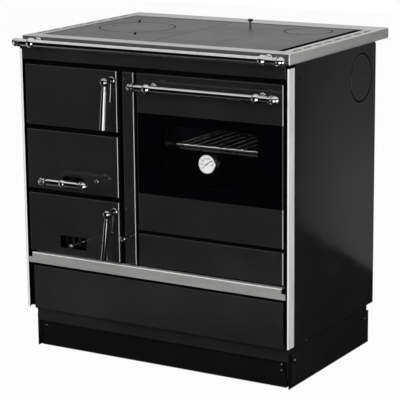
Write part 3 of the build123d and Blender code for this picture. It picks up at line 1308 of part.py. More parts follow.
# ---------------------------------------------------------------- screws
with BuildPart() as screws:
    for x, z in ((skirt_front_x[0] + 16, plinth_bottom_z - 15),
                 (skirt_front_x[1] - 14, plinth_bottom_z - 12),
                 (skirt_front_x[1] - 14, plinth_bottom_z - 28)):
        rod_y(x, z, screw_radius, y_skirt - screw_height, y_skirt)
    for x0, x1 in ((-plinth_half - sheet - screw_height, -plinth_half - sheet),
                   (plinth_half + sheet, plinth_half + sheet + screw_height)):
        for y in (side_skirt_y[0] + 32, side_skirt_y[1] - 23):
            rod_x(y, plinth_bottom_z - 2, screw_radius, x0, x1)
    rod_x(y_back - blank_inset, flue_z, screw_radius, x_body, x_body + screw_height)
    rod_x(y_back - blank_screw[0], z_rim - blank_screw[1], screw_radius + 0.7, x_body,
          x_body + screw_height)
    rod_y(shaker_x + pin_offset[0], shaker_z + pin_offset[1], 6, y_face - 5, y_face)
    for x0, x1 in ((-plinth_half - rivet_height, -plinth_half),
                   (plinth_half, plinth_half + rivet_height)):
        for y in (y_plinth[0] + rivet_inset[0], y_plinth[1] - rivet_inset[1]):
            rod_x(y, plinth_height - rivet_inset[2], rivet_radius, x0, x1)
screws.part.label = "screws"
export_step(screws.part, "parts/screws.step")
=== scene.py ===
import json
import math

import bmesh
import bpy
import numpy as np
from mathutils import Matrix, Vector


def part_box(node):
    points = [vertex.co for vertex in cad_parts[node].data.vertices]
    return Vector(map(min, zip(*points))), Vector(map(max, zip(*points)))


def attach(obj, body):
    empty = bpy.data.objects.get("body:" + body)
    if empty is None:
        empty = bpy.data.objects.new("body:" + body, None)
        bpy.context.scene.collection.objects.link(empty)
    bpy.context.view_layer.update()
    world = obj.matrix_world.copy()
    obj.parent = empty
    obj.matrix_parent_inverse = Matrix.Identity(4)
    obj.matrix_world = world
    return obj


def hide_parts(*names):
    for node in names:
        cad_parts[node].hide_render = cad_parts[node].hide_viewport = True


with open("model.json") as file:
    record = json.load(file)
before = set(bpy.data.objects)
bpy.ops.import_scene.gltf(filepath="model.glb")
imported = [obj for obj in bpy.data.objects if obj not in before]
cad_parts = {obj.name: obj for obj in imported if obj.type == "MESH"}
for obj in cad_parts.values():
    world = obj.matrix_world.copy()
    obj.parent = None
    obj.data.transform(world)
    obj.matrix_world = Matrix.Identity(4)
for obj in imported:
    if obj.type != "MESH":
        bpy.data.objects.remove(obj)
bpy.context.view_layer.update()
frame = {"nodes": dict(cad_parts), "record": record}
nodes = frame["nodes"]

# where the photograph was taken from, in metres and degrees
shot = {
    "place": (2.32136, -3.88496, 1.44094),
    "yaw": 30.906, "down": 12.943, "roll": -0.575,
    "lens": 156.13, "sensor": 36.0, "clip": (0.1, 60),
}


def aimCamera(shot):
    # the look direction from yaw and tilt, then a roll about it
    yaw, down, roll = (math.radians(shot[key]) for key in ("yaw", "down", "roll"))
    ahead = Vector((-math.sin(yaw) * math.cos(down), math.cos(yaw) * math.cos(down), -math.sin(down)))
    level = Vector((math.cos(yaw), math.sin(yaw), 0))
    rise = level.cross(ahead)
    right = level * math.cos(roll) + rise * math.sin(roll)
    up = rise * math.cos(roll) - level * math.sin(roll)
    data = bpy.data.cameras.new("shotCamera")
    data.lens, data.sensor_width = shot["lens"], shot["sensor"]
    data.clip_start, data.clip_end = shot["clip"]
    camera = bpy.data.objects.new("shotCamera", data)
    turn = Matrix((right, up, -ahead)).transposed().to_4x4()
    camera.matrix_world = Matrix.Translation(shot["place"]) @ turn
    bpy.context.scene.collection.objects.link(camera)
    bpy.context.scene.camera = camera


aimCamera(shot)
bpy.context.scene.view_settings.view_transform = "Standard"
print("camera set")


class Wire:
    # an output socket that Python's operators can work with: each adds a Math node
    def __init__(self, paint, socket):
        self.paint, self.socket = paint, socket

    def calc(self, operation, *values):
        return self.paint.add("ShaderNodeMath", {"operation": operation}, dict(enumerate(values)))

    def __add__(self, other):
        return self.calc("ADD", self, other)

    def __radd__(self, other):
        return self.calc("ADD", other, self)

    def __sub__(self, other):
        return self.calc("SUBTRACT", self, other)

    def __rsub__(self, other):
        return self.calc("SUBTRACT", other, self)

    def __mul__(self, other):
        return self.calc("MULTIPLY", self, other)

    def __rmul__(self, other):
        return self.calc("MULTIPLY", other, self)

    def __pow__(self, other):
        return self.calc("POWER", self, other)

    def __abs__(self):
        return self.calc("ABSOLUTE", self)

    def above(self, edge):
        # 1 where the value is more than edge, else 0
        return self.calc("GREATER_THAN", self, edge)

    def most(self, other):
        return self.calc("MAXIMUM", self, other)

    def smooth(self, low, high):
        # 0 below low, 1 above high, an S curve between
        return self.paint.add("ShaderNodeMapRange", {"interpolation_type": "SMOOTHSTEP"},
                              {"Value": self, "From Min": low, "From Max": high})


class Graph:
    # a node tree: add makes every node, feed sets or links every socket
    def __init__(self, tree):
        self.tree = tree

    def add(self, kind, settings=None, sockets=None, output=0):
        made = self.tree.nodes.new(kind)
        for key, value in (settings or {}).items():
            setattr(made, key, value)
        for key, value in (sockets or {}).items():
            self.feed(made.inputs[key], value)
        return Wire(self, made.outputs[output])

    def feed(self, socket, value):
        # a wire is linked and a value set; a colour socket wants a fourth number
        if isinstance(value, Wire):
            self.tree.links.new(value.socket, socket)
        else:
            socket.default_value = (*value, 1) if socket.type == "RGBA" else value


# dead black, for painted shade and for soot
sootAndShadeSkin = {"Base Color": (0.002, 0.002, 0.002), "Roughness": 1.0, "Specular IOR Level": 0.0}


class Finish(Graph):
    # one material: constants go on the shader's own sockets, patterns come in through wires
    def __init__(self, name, **look):
        self.material = bpy.data.materials.new(name)
        self.material.use_nodes = True
        super().__init__(self.material.node_tree)
        self.shader = self.tree.nodes["Principled BSDF"]
        self.where = None
        self.wear(**look)

    def wear(self, **look):
        # Base_Color=... sets or links the shader's socket of that name
        for key, value in look.items():
            self.feed(self.shader.inputs[key.replace("_", " ")], value)

    def here(self):
        if self.where is None:
            self.where = self.add("ShaderNodeTexCoord", output="Object")
        return self.where

    def axis(self, letter):
        # one coordinate of the point, in metres
        return self.add("ShaderNodeSeparateXYZ", {}, {"Vector": self.here()}, letter)

    def axes(self):
        return [self.axis(letter) for letter in "XYZ"]

    def noise(self, scale, detail, rough, stretch=(1, 1, 1)):
        spot = self.add("ShaderNodeMapping", {}, {"Vector": self.here(), "Scale": stretch})
        return self.add("ShaderNodeTexNoise", {}, {"Vector": spot, "Scale": scale,
                                                   "Detail": detail, "Roughness": rough})

    def cells(self, scale, output=0):
        return self.add("ShaderNodeTexVoronoi", {}, {"Vector": self.here(), "Scale": scale}, output)

    def tint(self, share, low, high):
        # colour between low and high; Mix keeps its colours on sockets 6 and 7
        return self.add("ShaderNodeMix", {"data_type": "RGBA"}, {0: share, 6: low, 7: high}, 2)

    def relief(self, height, strength, depth):
        self.wear(Normal=self.add("ShaderNodeBump", {},
                                  {"Height": height, "Strength": strength, "Distance": depth}))

    def cross(self, share, other):
        # the surface is this finish where share is 0 and the other shader where it is 1
        own = Wire(self, self.shader.outputs[0])
        mixed = self.add("ShaderNodeMixShader", {}, {0: share, 1: own, 2: other})
        self.feed(self.tree.nodes["Material Output"].inputs["Surface"], mixed)

    def blacken(self, share):
        # where share is 1 the surface is dead black, whatever the angle of the light; this paints shade,
        # and soot on the ash door's liner
        self.cross(share, self.add("ShaderNodeBsdfPrincipled", {}, sootAndShadeSkin))


# in the finishes below a noise is (scale in cycles per metre, detail, roughness), edges are where an
# S curve starts and ends, a relief is (strength, depth in metres), and places are in metres
enamel = {
    "black": (0.0155, 0.0155, 0.0159), "dusty": (0.0195, 0.0195, 0.0199), "dustEdges": (0.35, 0.75),
    "peel": (95.0, 2.0, 0.45), "cloud": (7.0, 4.0, 0.6), "speck": (900.0, 1.0, 0.5), "speckShare": 0.04,
    "ior": 1.5, "shine": 0.5, "gloss": 0.08, "smudged": 0.16, "smudgeEdges": (0.3, 0.8),
    "relief": (0.35, 0.00012), "fasciaShine": 0.3, "plinthFront": -0.212, "plinthShade": 0.45,
    "edge": 0.0018, "slack": 0.0002, "edgeFront": -0.2519, "edgeLight": 0.62,
    "paintedHighlightEdges": ("fire_door", "oven_door", "centre_column"),
}


def makeEnamel(name, shine=1.0, front=1.0, paintedHighlightEdges=()):
    # gloss vitreous enamel: slight orange peel and faint cloudiness; front darkens what faces forward
    # as painted shade
    paint = Finish(name, IOR=enamel["ior"], Specular_IOR_Level=enamel["shine"] * shine)
    peel, cloud, speck = (paint.noise(*enamel[key]) for key in ("peel", "cloud", "speck"))
    colour = paint.tint(cloud.smooth(*enamel["dustEdges"]), enamel["black"], enamel["dusty"])
    if front != 1.0:
        # painted shade: in front of the plinth's front line the colour goes towards black
        ahead = 1 - paint.axis("Y").above(enamel["plinthFront"])
        colour = paint.tint(ahead * (1 - front), colour, (0, 0, 0))
    if paintedHighlightEdges:
        # painted highlight: a thin pale line on the rounded right edges of doors and column, but not
        # beside the glass
        x, y, z = paint.axes()
        lit = 0.0
        for piece in paintedHighlightEdges:
            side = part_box(piece)[1][0]
            lit = x.above(side - enamel["edge"]) * (1 - x.above(side + enamel["slack"])) + lit
        low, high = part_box("oven_glass")
        beside = x.above(0.0) * z.above(low[2]) * (1 - z.above(high[2]))
        tall = z.above(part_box("ash_door")[0][2]) * (1 - z.above(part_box("fire_door")[1][2]))
        lit = lit * (1 - beside) * tall * (1 - y.above(enamel["edgeFront"])) * enamel["edgeLight"]
        colour = paint.tint(lit, colour, (1, 1, 1))
    smudge = cloud.smooth(*enamel["smudgeEdges"]) * (enamel["smudged"] - enamel["gloss"])
    paint.wear(Base_Color=colour, Roughness=smudge + enamel["gloss"])
    paint.relief(peel + speck * enamel["speckShare"], *enamel["relief"])
    return paint.material


steel = {
    "bright": (0.44, 0.436, 0.43), "dull": (0.33, 0.327, 0.32), "paintedHighlight": (0.95, 0.95, 0.94),
    "hair": (2600.0, 3.0, 0.62), "hairDrag": 0.012, "band": (60.0, 3.0, 0.55), "bandDrag": 0.15,
    "bandEdges": (0.25, 0.8), "bandShare": 0.6, "hairShare": 0.4,
    "sheen": 0.27, "hairRub": 0.12, "bandRub": 0.06, "relief": (0.22, 0.00004),
}


def brushTone(hair, band, dull, bright):
    # broad bands of duller metal under long hairlines
    share = band.smooth(*steel["bandEdges"]) * steel["bandShare"] + hair * steel["hairShare"]
    return hair.paint.tint(share, dull, bright)


def brushFeel(hair, band, sheen):
    hair.paint.wear(Roughness=sheen + hair * steel["hairRub"] + band * steel["bandRub"])
    hair.paint.relief(hair, *steel["relief"])


ledge = {"shade": 1.1, "metal": 0.35, "dulled": 0.12, "highlightAbove": 0.2660}


def makeLedge():
    # the strip over the drawer: brushed along X and painted a tenth lighter than the rim's steel,
    # its top edge a painted white highlight
    paint = Finish("brushedLedge", Metallic=ledge["metal"])
    hair = paint.noise(*steel["hair"], (steel["hairDrag"], 1, 1))
    band = paint.noise(*steel["band"], (steel["bandDrag"], 1, 1))
    dull, bright = (tuple(c * ledge["shade"] for c in steel[key]) for key in ("dull", "bright"))
    # painted highlight along the top edge
    paintedHighlight = paint.axis("Z").above(ledge["highlightAbove"])
    paint.wear(Base_Color=paint.tint(paintedHighlight, brushTone(hair, band, dull, bright), steel["paintedHighlight"]))
    brushFeel(hair, band, steel["sheen"] + ledge["dulled"])
    return paint.material


post = {
    "metal": 0.12, "specular": 0.4, "rough": 0.40, "side": ((0.66, 0.655, 0.645), (0.92, 0.915, 0.905)),
    "front": -0.2515, "behind": -0.2512, "top": 0.8155, "outside": 0.3975,
    "innerRight": 0.3945, "innerLeft": 0.3912, "leftEdge": -0.3968,
}


def makePost():
    # the folded posts: front painted white as a highlight, side brushed along Z and painted lighter
    # than the rim's steel, painted shade, dead black, where they run in behind
    paint = Finish("postSteel", Metallic=post["metal"], Specular_IOR_Level=post["specular"])
    hair = paint.noise(*steel["hair"], (1, 1, steel["hairDrag"]))
    band = paint.noise(*steel["band"], (1, 1, steel["bandDrag"]))
    x, y, z = paint.axes()
    # painted shade, dead black: inner sides beside the doors, above the top, left edge, run in behind
    inner = x.above(0.0) * (post["innerRight"] - post["innerLeft"]) + post["innerLeft"]
    inShade = (1 - abs(x).above(inner)).most(z.above(post["top"])).most(1 - x.above(post["leftEdge"]))
    inShade = inShade.most((1 - abs(x).above(post["outside"])) * y.above(post["behind"]))
    # painted highlight: the front is white and the side a lighter copy of the brushed steel
    front = 1 - y.above(post["front"])
    paint.wear(Base_Color=paint.tint(front, brushTone(hair, band, *post["side"]), steel["paintedHighlight"]))
    paint.blacken(inShade)
    brushFeel(hair, band, post["rough"])
    return paint.material


rim = {
    "metal": 0.72, "specular": 0.3, "grain": (3.0, 0.6), "beside": 0.358,
    "front": -0.2432, "flangeTop": 0.8484, "flangeShare": 0.8, "flangeReflection": (0.10, 0.10, 0.10),
    "outer": 0.3943, "side": (0.66, 0.655, 0.645), "corner": 0.637, "paintedHighlight": (0.95, 0.95, 0.95),
}


def makeRim():
    # the rim is brushed along each of its four sides: along X in front and behind, along Y beside
    paint = Finish("brushedRim", Metallic=rim["metal"], Specular_IOR_Level=rim["specular"])
    x, y, z = paint.axes()
    beside = abs(x).above(rim["beside"])
    hair, band = (paint.noise(steel[key][0], *rim["grain"], (steel[key + "Drag"], 1, 1)) * (1 - beside)
                  + paint.noise(steel[key][0], *rim["grain"], (1, steel[key + "Drag"], 1)) * beside
                  for key in ("hair", "band"))
    # painted light: the front flange is painted dark as a reflection of the dark bar, the sides lighter
    # where they catch the light, the corner a painted white highlight
    low = (1 - y.above(rim["front"])) * (1 - z.above(rim["flangeTop"])) * rim["flangeShare"]
    colour = paint.tint(low, brushTone(hair, band, steel["dull"], steel["bright"]), rim["flangeReflection"])
    colour = paint.tint(abs(x).above(rim["outer"]), colour, rim["side"])
    paint.wear(Base_Color=paint.tint((abs(x) - y).above(rim["corner"]), colour, rim["paintedHighlight"]))
    brushFeel(hair, band, steel["sheen"])
    return paint.material


plate = {
    "ground": (0.076, 0.076, 0.078), "stained": (0.055, 0.0545, 0.055), "worn": (0.108, 0.108, 0.110),
    "wall": (0.006, 0.006, 0.006), "metal": 0.5, "specular": 0.3,
    "marks": (1500.0, 2.0, 0.6), "along": (0.02, 1, 1), "markEdges": (0.5, 0.85), "markShare": 0.35,
    "stain": (9.0, 5.0, 0.62), "stainEdges": (0.3, 0.75), "pores": 620.0, "poreEdges": (0.0, 0.35),
    "rough": (0.40, 0.14, 0.08), "heights": (0.6, 0.5), "relief": (0.3, 0.00006),
    "top": 0.8479, "rightEdge": 0.3350, "joint": 0.0016, "lids": ("ring_lid", "top_flue_cover"),
}


def makePlate():
    # ground cast iron: straight grinding marks along X, heat stains, fine pores; painted shade, dead
    # black, down its walls, in the joints round the lids and along the right edge
    paint = Finish("groundIron", Specular_IOR_Level=plate["specular"])
    marks = paint.noise(*plate["marks"], plate["along"])
    stain = paint.noise(*plate["stain"])
    pores = paint.cells(plate["pores"])
    x, y, z = paint.axes()
    top = z.above(plate["top"])
    bare = top * (1 - x.above(plate["rightEdge"]))
    for name in plate["lids"]:
        low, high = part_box(name)
        fromX, fromY = x - (low[0] + high[0]) / 2, y - (low[1] + high[1]) / 2
        away = (fromX * fromX + fromY * fromY) ** 0.5 - (high[0] - low[0]) / 2
        bare = bare * abs(away).above(plate["joint"])
    body = paint.tint(stain.smooth(*plate["stainEdges"]), plate["ground"], plate["stained"])
    ground = paint.tint(marks.smooth(*plate["markEdges"]) * plate["markShare"], body, plate["worn"])
    # painted shade: below the top face the plate is near black
    paint.wear(Base_Color=paint.tint(top, plate["wall"], ground), Metallic=top * plate["metal"])
    base, stainRub, markRub = plate["rough"]
    paint.wear(Roughness=base + stain * stainRub + marks * markRub)
    markHeight, poreHeight = plate["heights"]
    paint.relief(marks * markHeight + pores.smooth(*plate["poreEdges"]) * poreHeight, *plate["relief"])
    paint.blacken(1 - bare)
    return paint.material


chrome = {
    "bright": (0.60, 0.60, 0.61), "dull": (0.50, 0.50, 0.51), "haze": (38.0, 4.0, 0.6),
    "hazeEdges": (0.3, 0.8), "fine": (1400.0, 2.0, 0.5), "rough": (0.02, 0.04), "relief": (0.05, 0.00003),
    "handleShade": 0.55, "handleShadeBehind": -0.2540,
}


def makeChrome(name, behind=None, shade=1.0):
    # polished plate with the faint haze that handling leaves; further in than behind, painted shade,
    # dead black
    paint = Finish(name, Metallic=1.0)
    haze, fine = paint.noise(*chrome["haze"]), paint.noise(*chrome["fine"])
    bright, dull = (tuple(c * shade for c in chrome[key]) for key in ("bright", "dull"))
    base, hazeRub = chrome["rough"]
    paint.wear(Base_Color=paint.tint(haze.smooth(*chrome["hazeEdges"]), bright, dull),
               Roughness=base + haze * hazeRub)
    paint.relief(fine, *chrome["relief"])
    if behind is not None:
        paint.blacken(paint.axis("Y").above(behind))
    return paint.material


zinc = {
    "crystals": 85.0, "toneShare": 0.8, "dirt": (20.0, 4.0, 0.6), "dirtShare": 0.2,
    "tones": ((0.30, 0.305, 0.31), (0.47, 0.475, 0.48)), "rough": (0.34, 0.16, 0.08), "metal": 0.9,
    "bloom": (1100.0, 3.0, 0.5), "step": 0.5, "relief": (0.2, 0.00006),
}


def makeZinc():
    # hot-dip zinc: flat crystals of different tone and dullness
    paint = Finish("zincSpangle", Metallic=zinc["metal"])
    spangle = paint.cells(zinc["crystals"], "Color")
    tone = paint.add("ShaderNodeSeparateColor", {}, {"Color": spangle}, "Red")
    dirt = paint.noise(*zinc["dirt"])
    base, toneRub, dirtRub = zinc["rough"]
    paint.wear(Base_Color=paint.tint(tone * zinc["toneShare"] + dirt * zinc["dirtShare"], *zinc["tones"]),
               Roughness=base + tone * toneRub + dirt * dirtRub)
    paint.relief(tone * zinc["step"] + paint.noise(*zinc["bloom"]), *zinc["relief"])
    return paint.material


ovenLining = {
    "specks": 480.0, "speckEdges": (0.05, 0.17), "speckShare": 0.55, "peel": (150.0, 2.0, 0.5),
    "specular": 0.5, "colours": ((0.0018, 0.0019, 0.0025), (0.025, 0.026, 0.028)),
    "rough": (0.16, 0.14), "relief": (0.3, 0.00015),
}


def makeOvenLining():
    # blue-black enamel with fine pale specks
    paint = Finish("speckledEnamel", Specular_IOR_Level=ovenLining["specular"])
    specks, peel = paint.cells(ovenLining["specks"]), paint.noise(*ovenLining["peel"])
    share = (1 - specks.smooth(*ovenLining["speckEdges"])) * ovenLining["speckShare"]
    base, peelRub = ovenLining["rough"]
    paint.wear(Base_Color=paint.tint(share, *ovenLining["colours"]), Roughness=base + peel * peelRub)
    paint.relief(peel, *ovenLining["relief"])
    return paint.material


rack = {
    "metal": 0.55, "heat": (24.0, 3.0, 0.6), "heatEdges": (0.35, 0.75), "fine": (1800.0, 2.0, 0.5),
    "rods": ((0.055, 0.053, 0.048), (0.035, 0.032, 0.027)), "frontWireHighlight": (0.95, 0.95, 0.94),
    "front": -0.178, "rough": (0.18, 0.2), "relief": (0.12, 0.00004),
}


def makeRack():
    # nickel-plated wire: the front wire painted white as a highlight, the rods further in browned by
    # heat and painted darker as shade
    paint = Finish("rackPlate", Metallic=rack["metal"])
    heat = paint.noise(*rack["heat"])
    rods = paint.tint(heat.smooth(*rack["heatEdges"]), *rack["rods"])
    base, heatRub = rack["rough"]
    paint.wear(Base_Color=paint.tint(paint.axis("Y").above(rack["front"]), rack["frontWireHighlight"], rods),
               Roughness=base + heat * heatRub)
    paint.relief(paint.noise(*rack["fine"]), *rack["relief"])
    return paint.material


brick = {
    "grit": (420.0, 5.0, 0.7), "gritEdges": (0.3, 0.7), "body": ((0.55, 0.43, 0.30), (0.68, 0.57, 0.43)),
    "blacken": (13.0, 4.0, 0.6), "sootEdges": (0.42, 0.72), "sootShare": 0.75, "sooty": (0.11, 0.095, 0.08),
    "chips": 260.0, "chipEdges": (0.05, 0.3), "chipDepth": 0.5,
    "specular": 0.2, "rough": (0.86, 0.1), "relief": (0.7, 0.0006),
}


def makeBrick():
    # pressed chamotte: coarse grit, small chips and patches of soot
    paint = Finish("chamotte", Specular_IOR_Level=brick["specular"])
    grit, blacken = paint.noise(*brick["grit"]), paint.noise(*brick["blacken"])
    chips = paint.cells(brick["chips"])
    body = paint.tint(grit.smooth(*brick["gritEdges"]), *brick["body"])
    sooty = blacken.smooth(*brick["sootEdges"]) * brick["sootShare"]
    base, gritRub = brick["rough"]
    paint.wear(Base_Color=paint.tint(sooty, body, brick["sooty"]), Roughness=base + grit * gritRub)
    paint.relief(grit + chips.smooth(*brick["chipEdges"]) * brick["chipDepth"], *brick["relief"])
    return paint.material


board = {
    "fibre": (380.0, 6.0, 0.75), "lie": (1, 0.15, 0.3), "fibreEdges": (0.3, 0.7),
    "colours": ((0.42, 0.37, 0.25), (0.62, 0.57, 0.42)), "painted": (0.004, 0.004, 0.004), "reach": 0.075,
    "specular": 0.1, "rough": (0.9, 0.08), "relief": (0.8, 0.0008),
}


def makeBoard():
    # mineral-fibre board: long tangled fibres in flat layers, painted near black as shade round the
    # side flue opening
    paint = Finish("fibreBoard", Specular_IOR_Level=board["specular"])
    fibre = paint.noise(*board["fibre"], board["lie"])
    woolly = paint.tint(fibre.smooth(*board["fibreEdges"]), *board["colours"])
    low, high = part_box("side_flue_blank")
    fromY, fromZ = paint.axis("Y") - (low[1] + high[1]) / 2, paint.axis("Z") - (low[2] + high[2]) / 2
    clear = (fromY * fromY + fromZ * fromZ).above(board["reach"] ** 2)
    base, fibreRub = board["rough"]
    paint.wear(Base_Color=paint.tint(clear, board["painted"], woolly), Roughness=base + fibre * fibreRub)
    paint.relief(fibre, *board["relief"])
    return paint.material


glass = {
    "window": ((0.036, 0.310), (0.495, 0.650)), "fade": 0.004, "clear": 0.50, "filmClear": 0.06,
    "black": (0.0009, 0.0008, 0.0013), "hazy": (0.0017, 0.0015, 0.0025), "ior": 1.5, "specular": 0.5,
    "film": (9.0, 4.0, 0.6), "filmEdges": (0.3, 0.8), "rough": (0.02, 0.05), "roughEdges": (0.35, 0.8),
    "wave": (14.0, 1.0, 0.5), "relief": (0.03, 0.0005),
}


def makeGlass():
    # oven window: opaque black print round the edge, smoky see-through glass inside it
    paint = Finish("tintedGlass", IOR=glass["ior"], Specular_IOR_Level=glass["specular"])
    film = paint.noise(*glass["film"])
    inside, fade = 1.0, glass["fade"]
    for letter, (low, high) in zip("XZ", glass["window"]):
        way = paint.axis(letter)
        inside = way.smooth(low - fade, low) * (1 - way.smooth(high, high + fade)) * inside
    base, filmRub = glass["rough"]
    paint.wear(Base_Color=paint.tint(film.smooth(*glass["filmEdges"]), glass["black"], glass["hazy"]),
               Alpha=1 - inside * (glass["clear"] + film * glass["filmClear"]),
               Roughness=base + film.smooth(*glass["roughEdges"]) * filmRub)
    paint.relief(paint.noise(*glass["wave"]), *glass["relief"])
    return paint.material


coverGlass = {
    "ior": 1.45, "colour": (0.9, 0.93, 0.92), "smear": (70.0, 3.0, 0.6), "alpha": (0.05, 0.04),
    "rough": (0.03, 0.05), "relief": (0.02, 0.0001),
}


def makeCover():
    # the thermometer's thin clear glass, with the faint smear of a wiping cloth
    paint = Finish("clearCover", IOR=coverGlass["ior"], Base_Color=coverGlass["colour"])
    smear = paint.noise(*coverGlass["smear"])
    alpha, smearAlpha = coverGlass["alpha"]
    base, smearRub = coverGlass["rough"]
    paint.wear(Alpha=alpha + smear * smearAlpha, Roughness=base + smear * smearRub)
    paint.relief(smear, *coverGlass["relief"])
    return paint.material


# plainer finishes, by material slot: colours mix over the broad noise, rough is a base and the shares
# of the broad and the fine noise, and the relief is the fine noise where there is one
plain = {
    # as-cast iron of the grate and liners: sandy skin with soot
    "cast_iron": {
        "name": "castSkin", "same": {"Metallic": 0.25, "Specular_IOR_Level": 0.35},
        "broad": (16.0, 5.0, 0.65), "fine": (700.0, 4.0, 0.7), "edges": (0.3, 0.7),
        "colours": ((0.045, 0.043, 0.042), (0.018, 0.017, 0.016)),
        "rough": (0.62, 0.25, 0.0), "relief": (0.55, 0.0003), "linerFront": -0.2354},
    # heat-proof black paint on sheet, matt with a dry spray grain
    "sheet_steel": {
        "name": "stoveBlack", "same": {"Specular_IOR_Level": 0.02},
        "broad": (11.0, 4.0, 0.6), "fine": (1500.0, 3.0, 0.6), "edges": (0.35, 0.75),
        "colours": ((0.003, 0.003, 0.0031), (0.006, 0.0058, 0.0055)),
        "rough": (0.7, 0.1, 0.16), "relief": (0.3, 0.00012)},
    # woven glass-fibre braid, graphite grey
    "seal_rope": {
        "name": "glassBraid", "same": {"Specular_IOR_Level": 0.25},
        "broad": (1300.0, 4.0, 0.7), "edges": (0.3, 0.7),
        "colours": ((0.05, 0.05, 0.052), (0.17, 0.17, 0.175)),
        "rough": (0.75, 0.15, 0.0), "relief": (0.5, 0.0002)},
    # black moulded knob with a fine satin grain
    "black_knob": {
        "name": "mouldedBlack", "same": {"Specular_IOR_Level": 0.5},
        "broad": (60.0, 3.0, 0.5), "fine": (1600.0, 2.0, 0.5),
        "colours": ((0.008, 0.008, 0.008), (0.02, 0.02, 0.02)),
        "rough": (0.22, 0.16, 0.0), "relief": (0.1, 0.00005)},
    # printed dial: warm white satin with a hint of fibre
    "dial_white": {
        "name": "dialPrint", "same": {"Specular_IOR_Level": 0.4},
        "broad": (130.0, 4.0, 0.6),
        "colours": ((0.90, 0.90, 0.89), (0.97, 0.97, 0.96)),
        "rough": (0.36, 0.12, 0.0), "relief": (0.1, 0.00005)},
    # black print and the needle's lacquer
    "needle_dark": {
        "name": "darkInk", "same": {"Specular_IOR_Level": 0.4},
        "broad": (260.0, 3.0, 0.5),
        "colours": ((0.010, 0.010, 0.011), (0.024, 0.024, 0.026)),
        "rough": (0.4, 0.12, 0.0), "relief": (0.08, 0.00004)},
}


def makePlain(look, name=None, sootAndShadeBefore=None):
    # one of the plainer finishes, dead black in front of the given line: soot and painted shade
    paint = Finish(name or look["name"], **look["same"])
    broad = paint.noise(*look["broad"])
    fine = paint.noise(*look["fine"]) if "fine" in look else broad
    share = broad.smooth(*look["edges"]) if "edges" in look else broad
    base, broadRub, fineRub = look["rough"]
    paint.wear(Base_Color=paint.tint(share, *look["colours"]),
               Roughness=base + fine * fineRub + broad * broadRub)
    paint.relief(fine, *look["relief"])
    if sootAndShadeBefore is not None:
        paint.blacken(1 - paint.axis("Y").above(sootAndShadeBefore))
    return paint.material


finishes = {
    "enamel_black": makeEnamel("glossEnamel", paintedHighlightEdges=enamel["paintedHighlightEdges"]),
    "stainless": makeRim(),
    "chrome": makeChrome("brightChrome"),
    "galvanised": makeZinc(),
    "oven_enamel": makeOvenLining(),
    "rack_wire": makeRack(),
    "firebrick": makeBrick(),
    "mineral_board": makeBoard(),
    "dark_glass": makeGlass(),
    **{slot: makePlain(look) for slot, look in plain.items()},
}
hobPlates = ("cooktop_left", "cooktop_right", "ring_lid", "top_flue_cover")
handles = ("fire_door_handle", "ash_door_handle", "air_slider")
special = {
    "corner_posts": makePost(),
    "ledge_strip": makeLedge(),
    "plinth_skirt": makeEnamel("plinthShadedEnamel", front=enamel["plinthShade"]),
    "fascia": makeEnamel("fasciaEnamel", shine=enamel["fasciaShine"]),
    # the ash door's liner is dead black in front of its front line: soot and painted shade
    "ash_door_liner": makePlain(plain["cast_iron"], "sootedShadedSkin", plain["cast_iron"]["linerFront"]),
    # the handles: a darker, shaded copy of the chrome, painted shade further in
    **dict.fromkeys(handles, makeChrome("handleChrome", chrome["handleShadeBehind"], chrome["handleShade"])),
    **dict.fromkeys(hobPlates, makePlate()),
}
slotOf = {part["node"]: part["material_slot"] for part in frame["record"]["subparts"]}
for name, node in nodes.items():
    finish = special.get(name, finishes[slotOf[name]])
    for slot in node.material_slots:
        slot.material = finish
    if not node.material_slots:
        node.data.materials.append(finish)
print("finishes on", len(nodes), "nodes")


# new pieces: surfaces worked out as whole arrays
def gridFaces(rows, columns):
    # quads between neighbouring points of a grid whose second direction closes on itself
    row, column = np.meshgrid(np.arange(rows - 1), np.arange(columns), indexing="ij")
    beside = (column + 1) % columns
    corners = (row * columns + column, row * columns + beside,
               (row + 1) * columns + beside, (row + 1) * columns + column)
    return np.stack(corners, -1).reshape(-1, 4)


def loopFaces(rows, columns):
    # the same for a grid that closes on itself both ways
    return gridFaces(rows + 1, columns) % (rows * columns)


samePoint = 1e-6  # metres


def makePiece(name, shells, finish, body, stands=()):
    # one mesh from several (points, faces) shells, poles merged and faces turned outwards
    starts = np.cumsum([0] + [len(points) for points, faces in shells])
    points = np.concatenate([points for points, faces in shells])
    faces = np.concatenate([faces + start for start, (_, faces) in zip(starts, shells)])
    mesh = bpy.data.meshes.new(name)
    mesh.from_pydata(points.tolist(), [], faces.tolist())
    shape = bmesh.new()
    shape.from_mesh(mesh)
    bmesh.ops.remove_doubles(shape, verts=shape.verts, dist=samePoint)
    bmesh.ops.recalc_face_normals(shape, faces=shape.faces)
    shape.to_mesh(mesh)
    shape.free()
    mesh.polygons.foreach_set("use_smooth", np.ones(len(mesh.polygons), bool))
    mesh.materials.append(finish)
    piece = bpy.data.objects.new(name, mesh)
    bpy.context.scene.collection.objects.link(piece)
    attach(piece, body)
    if stands:
        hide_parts(*stands)


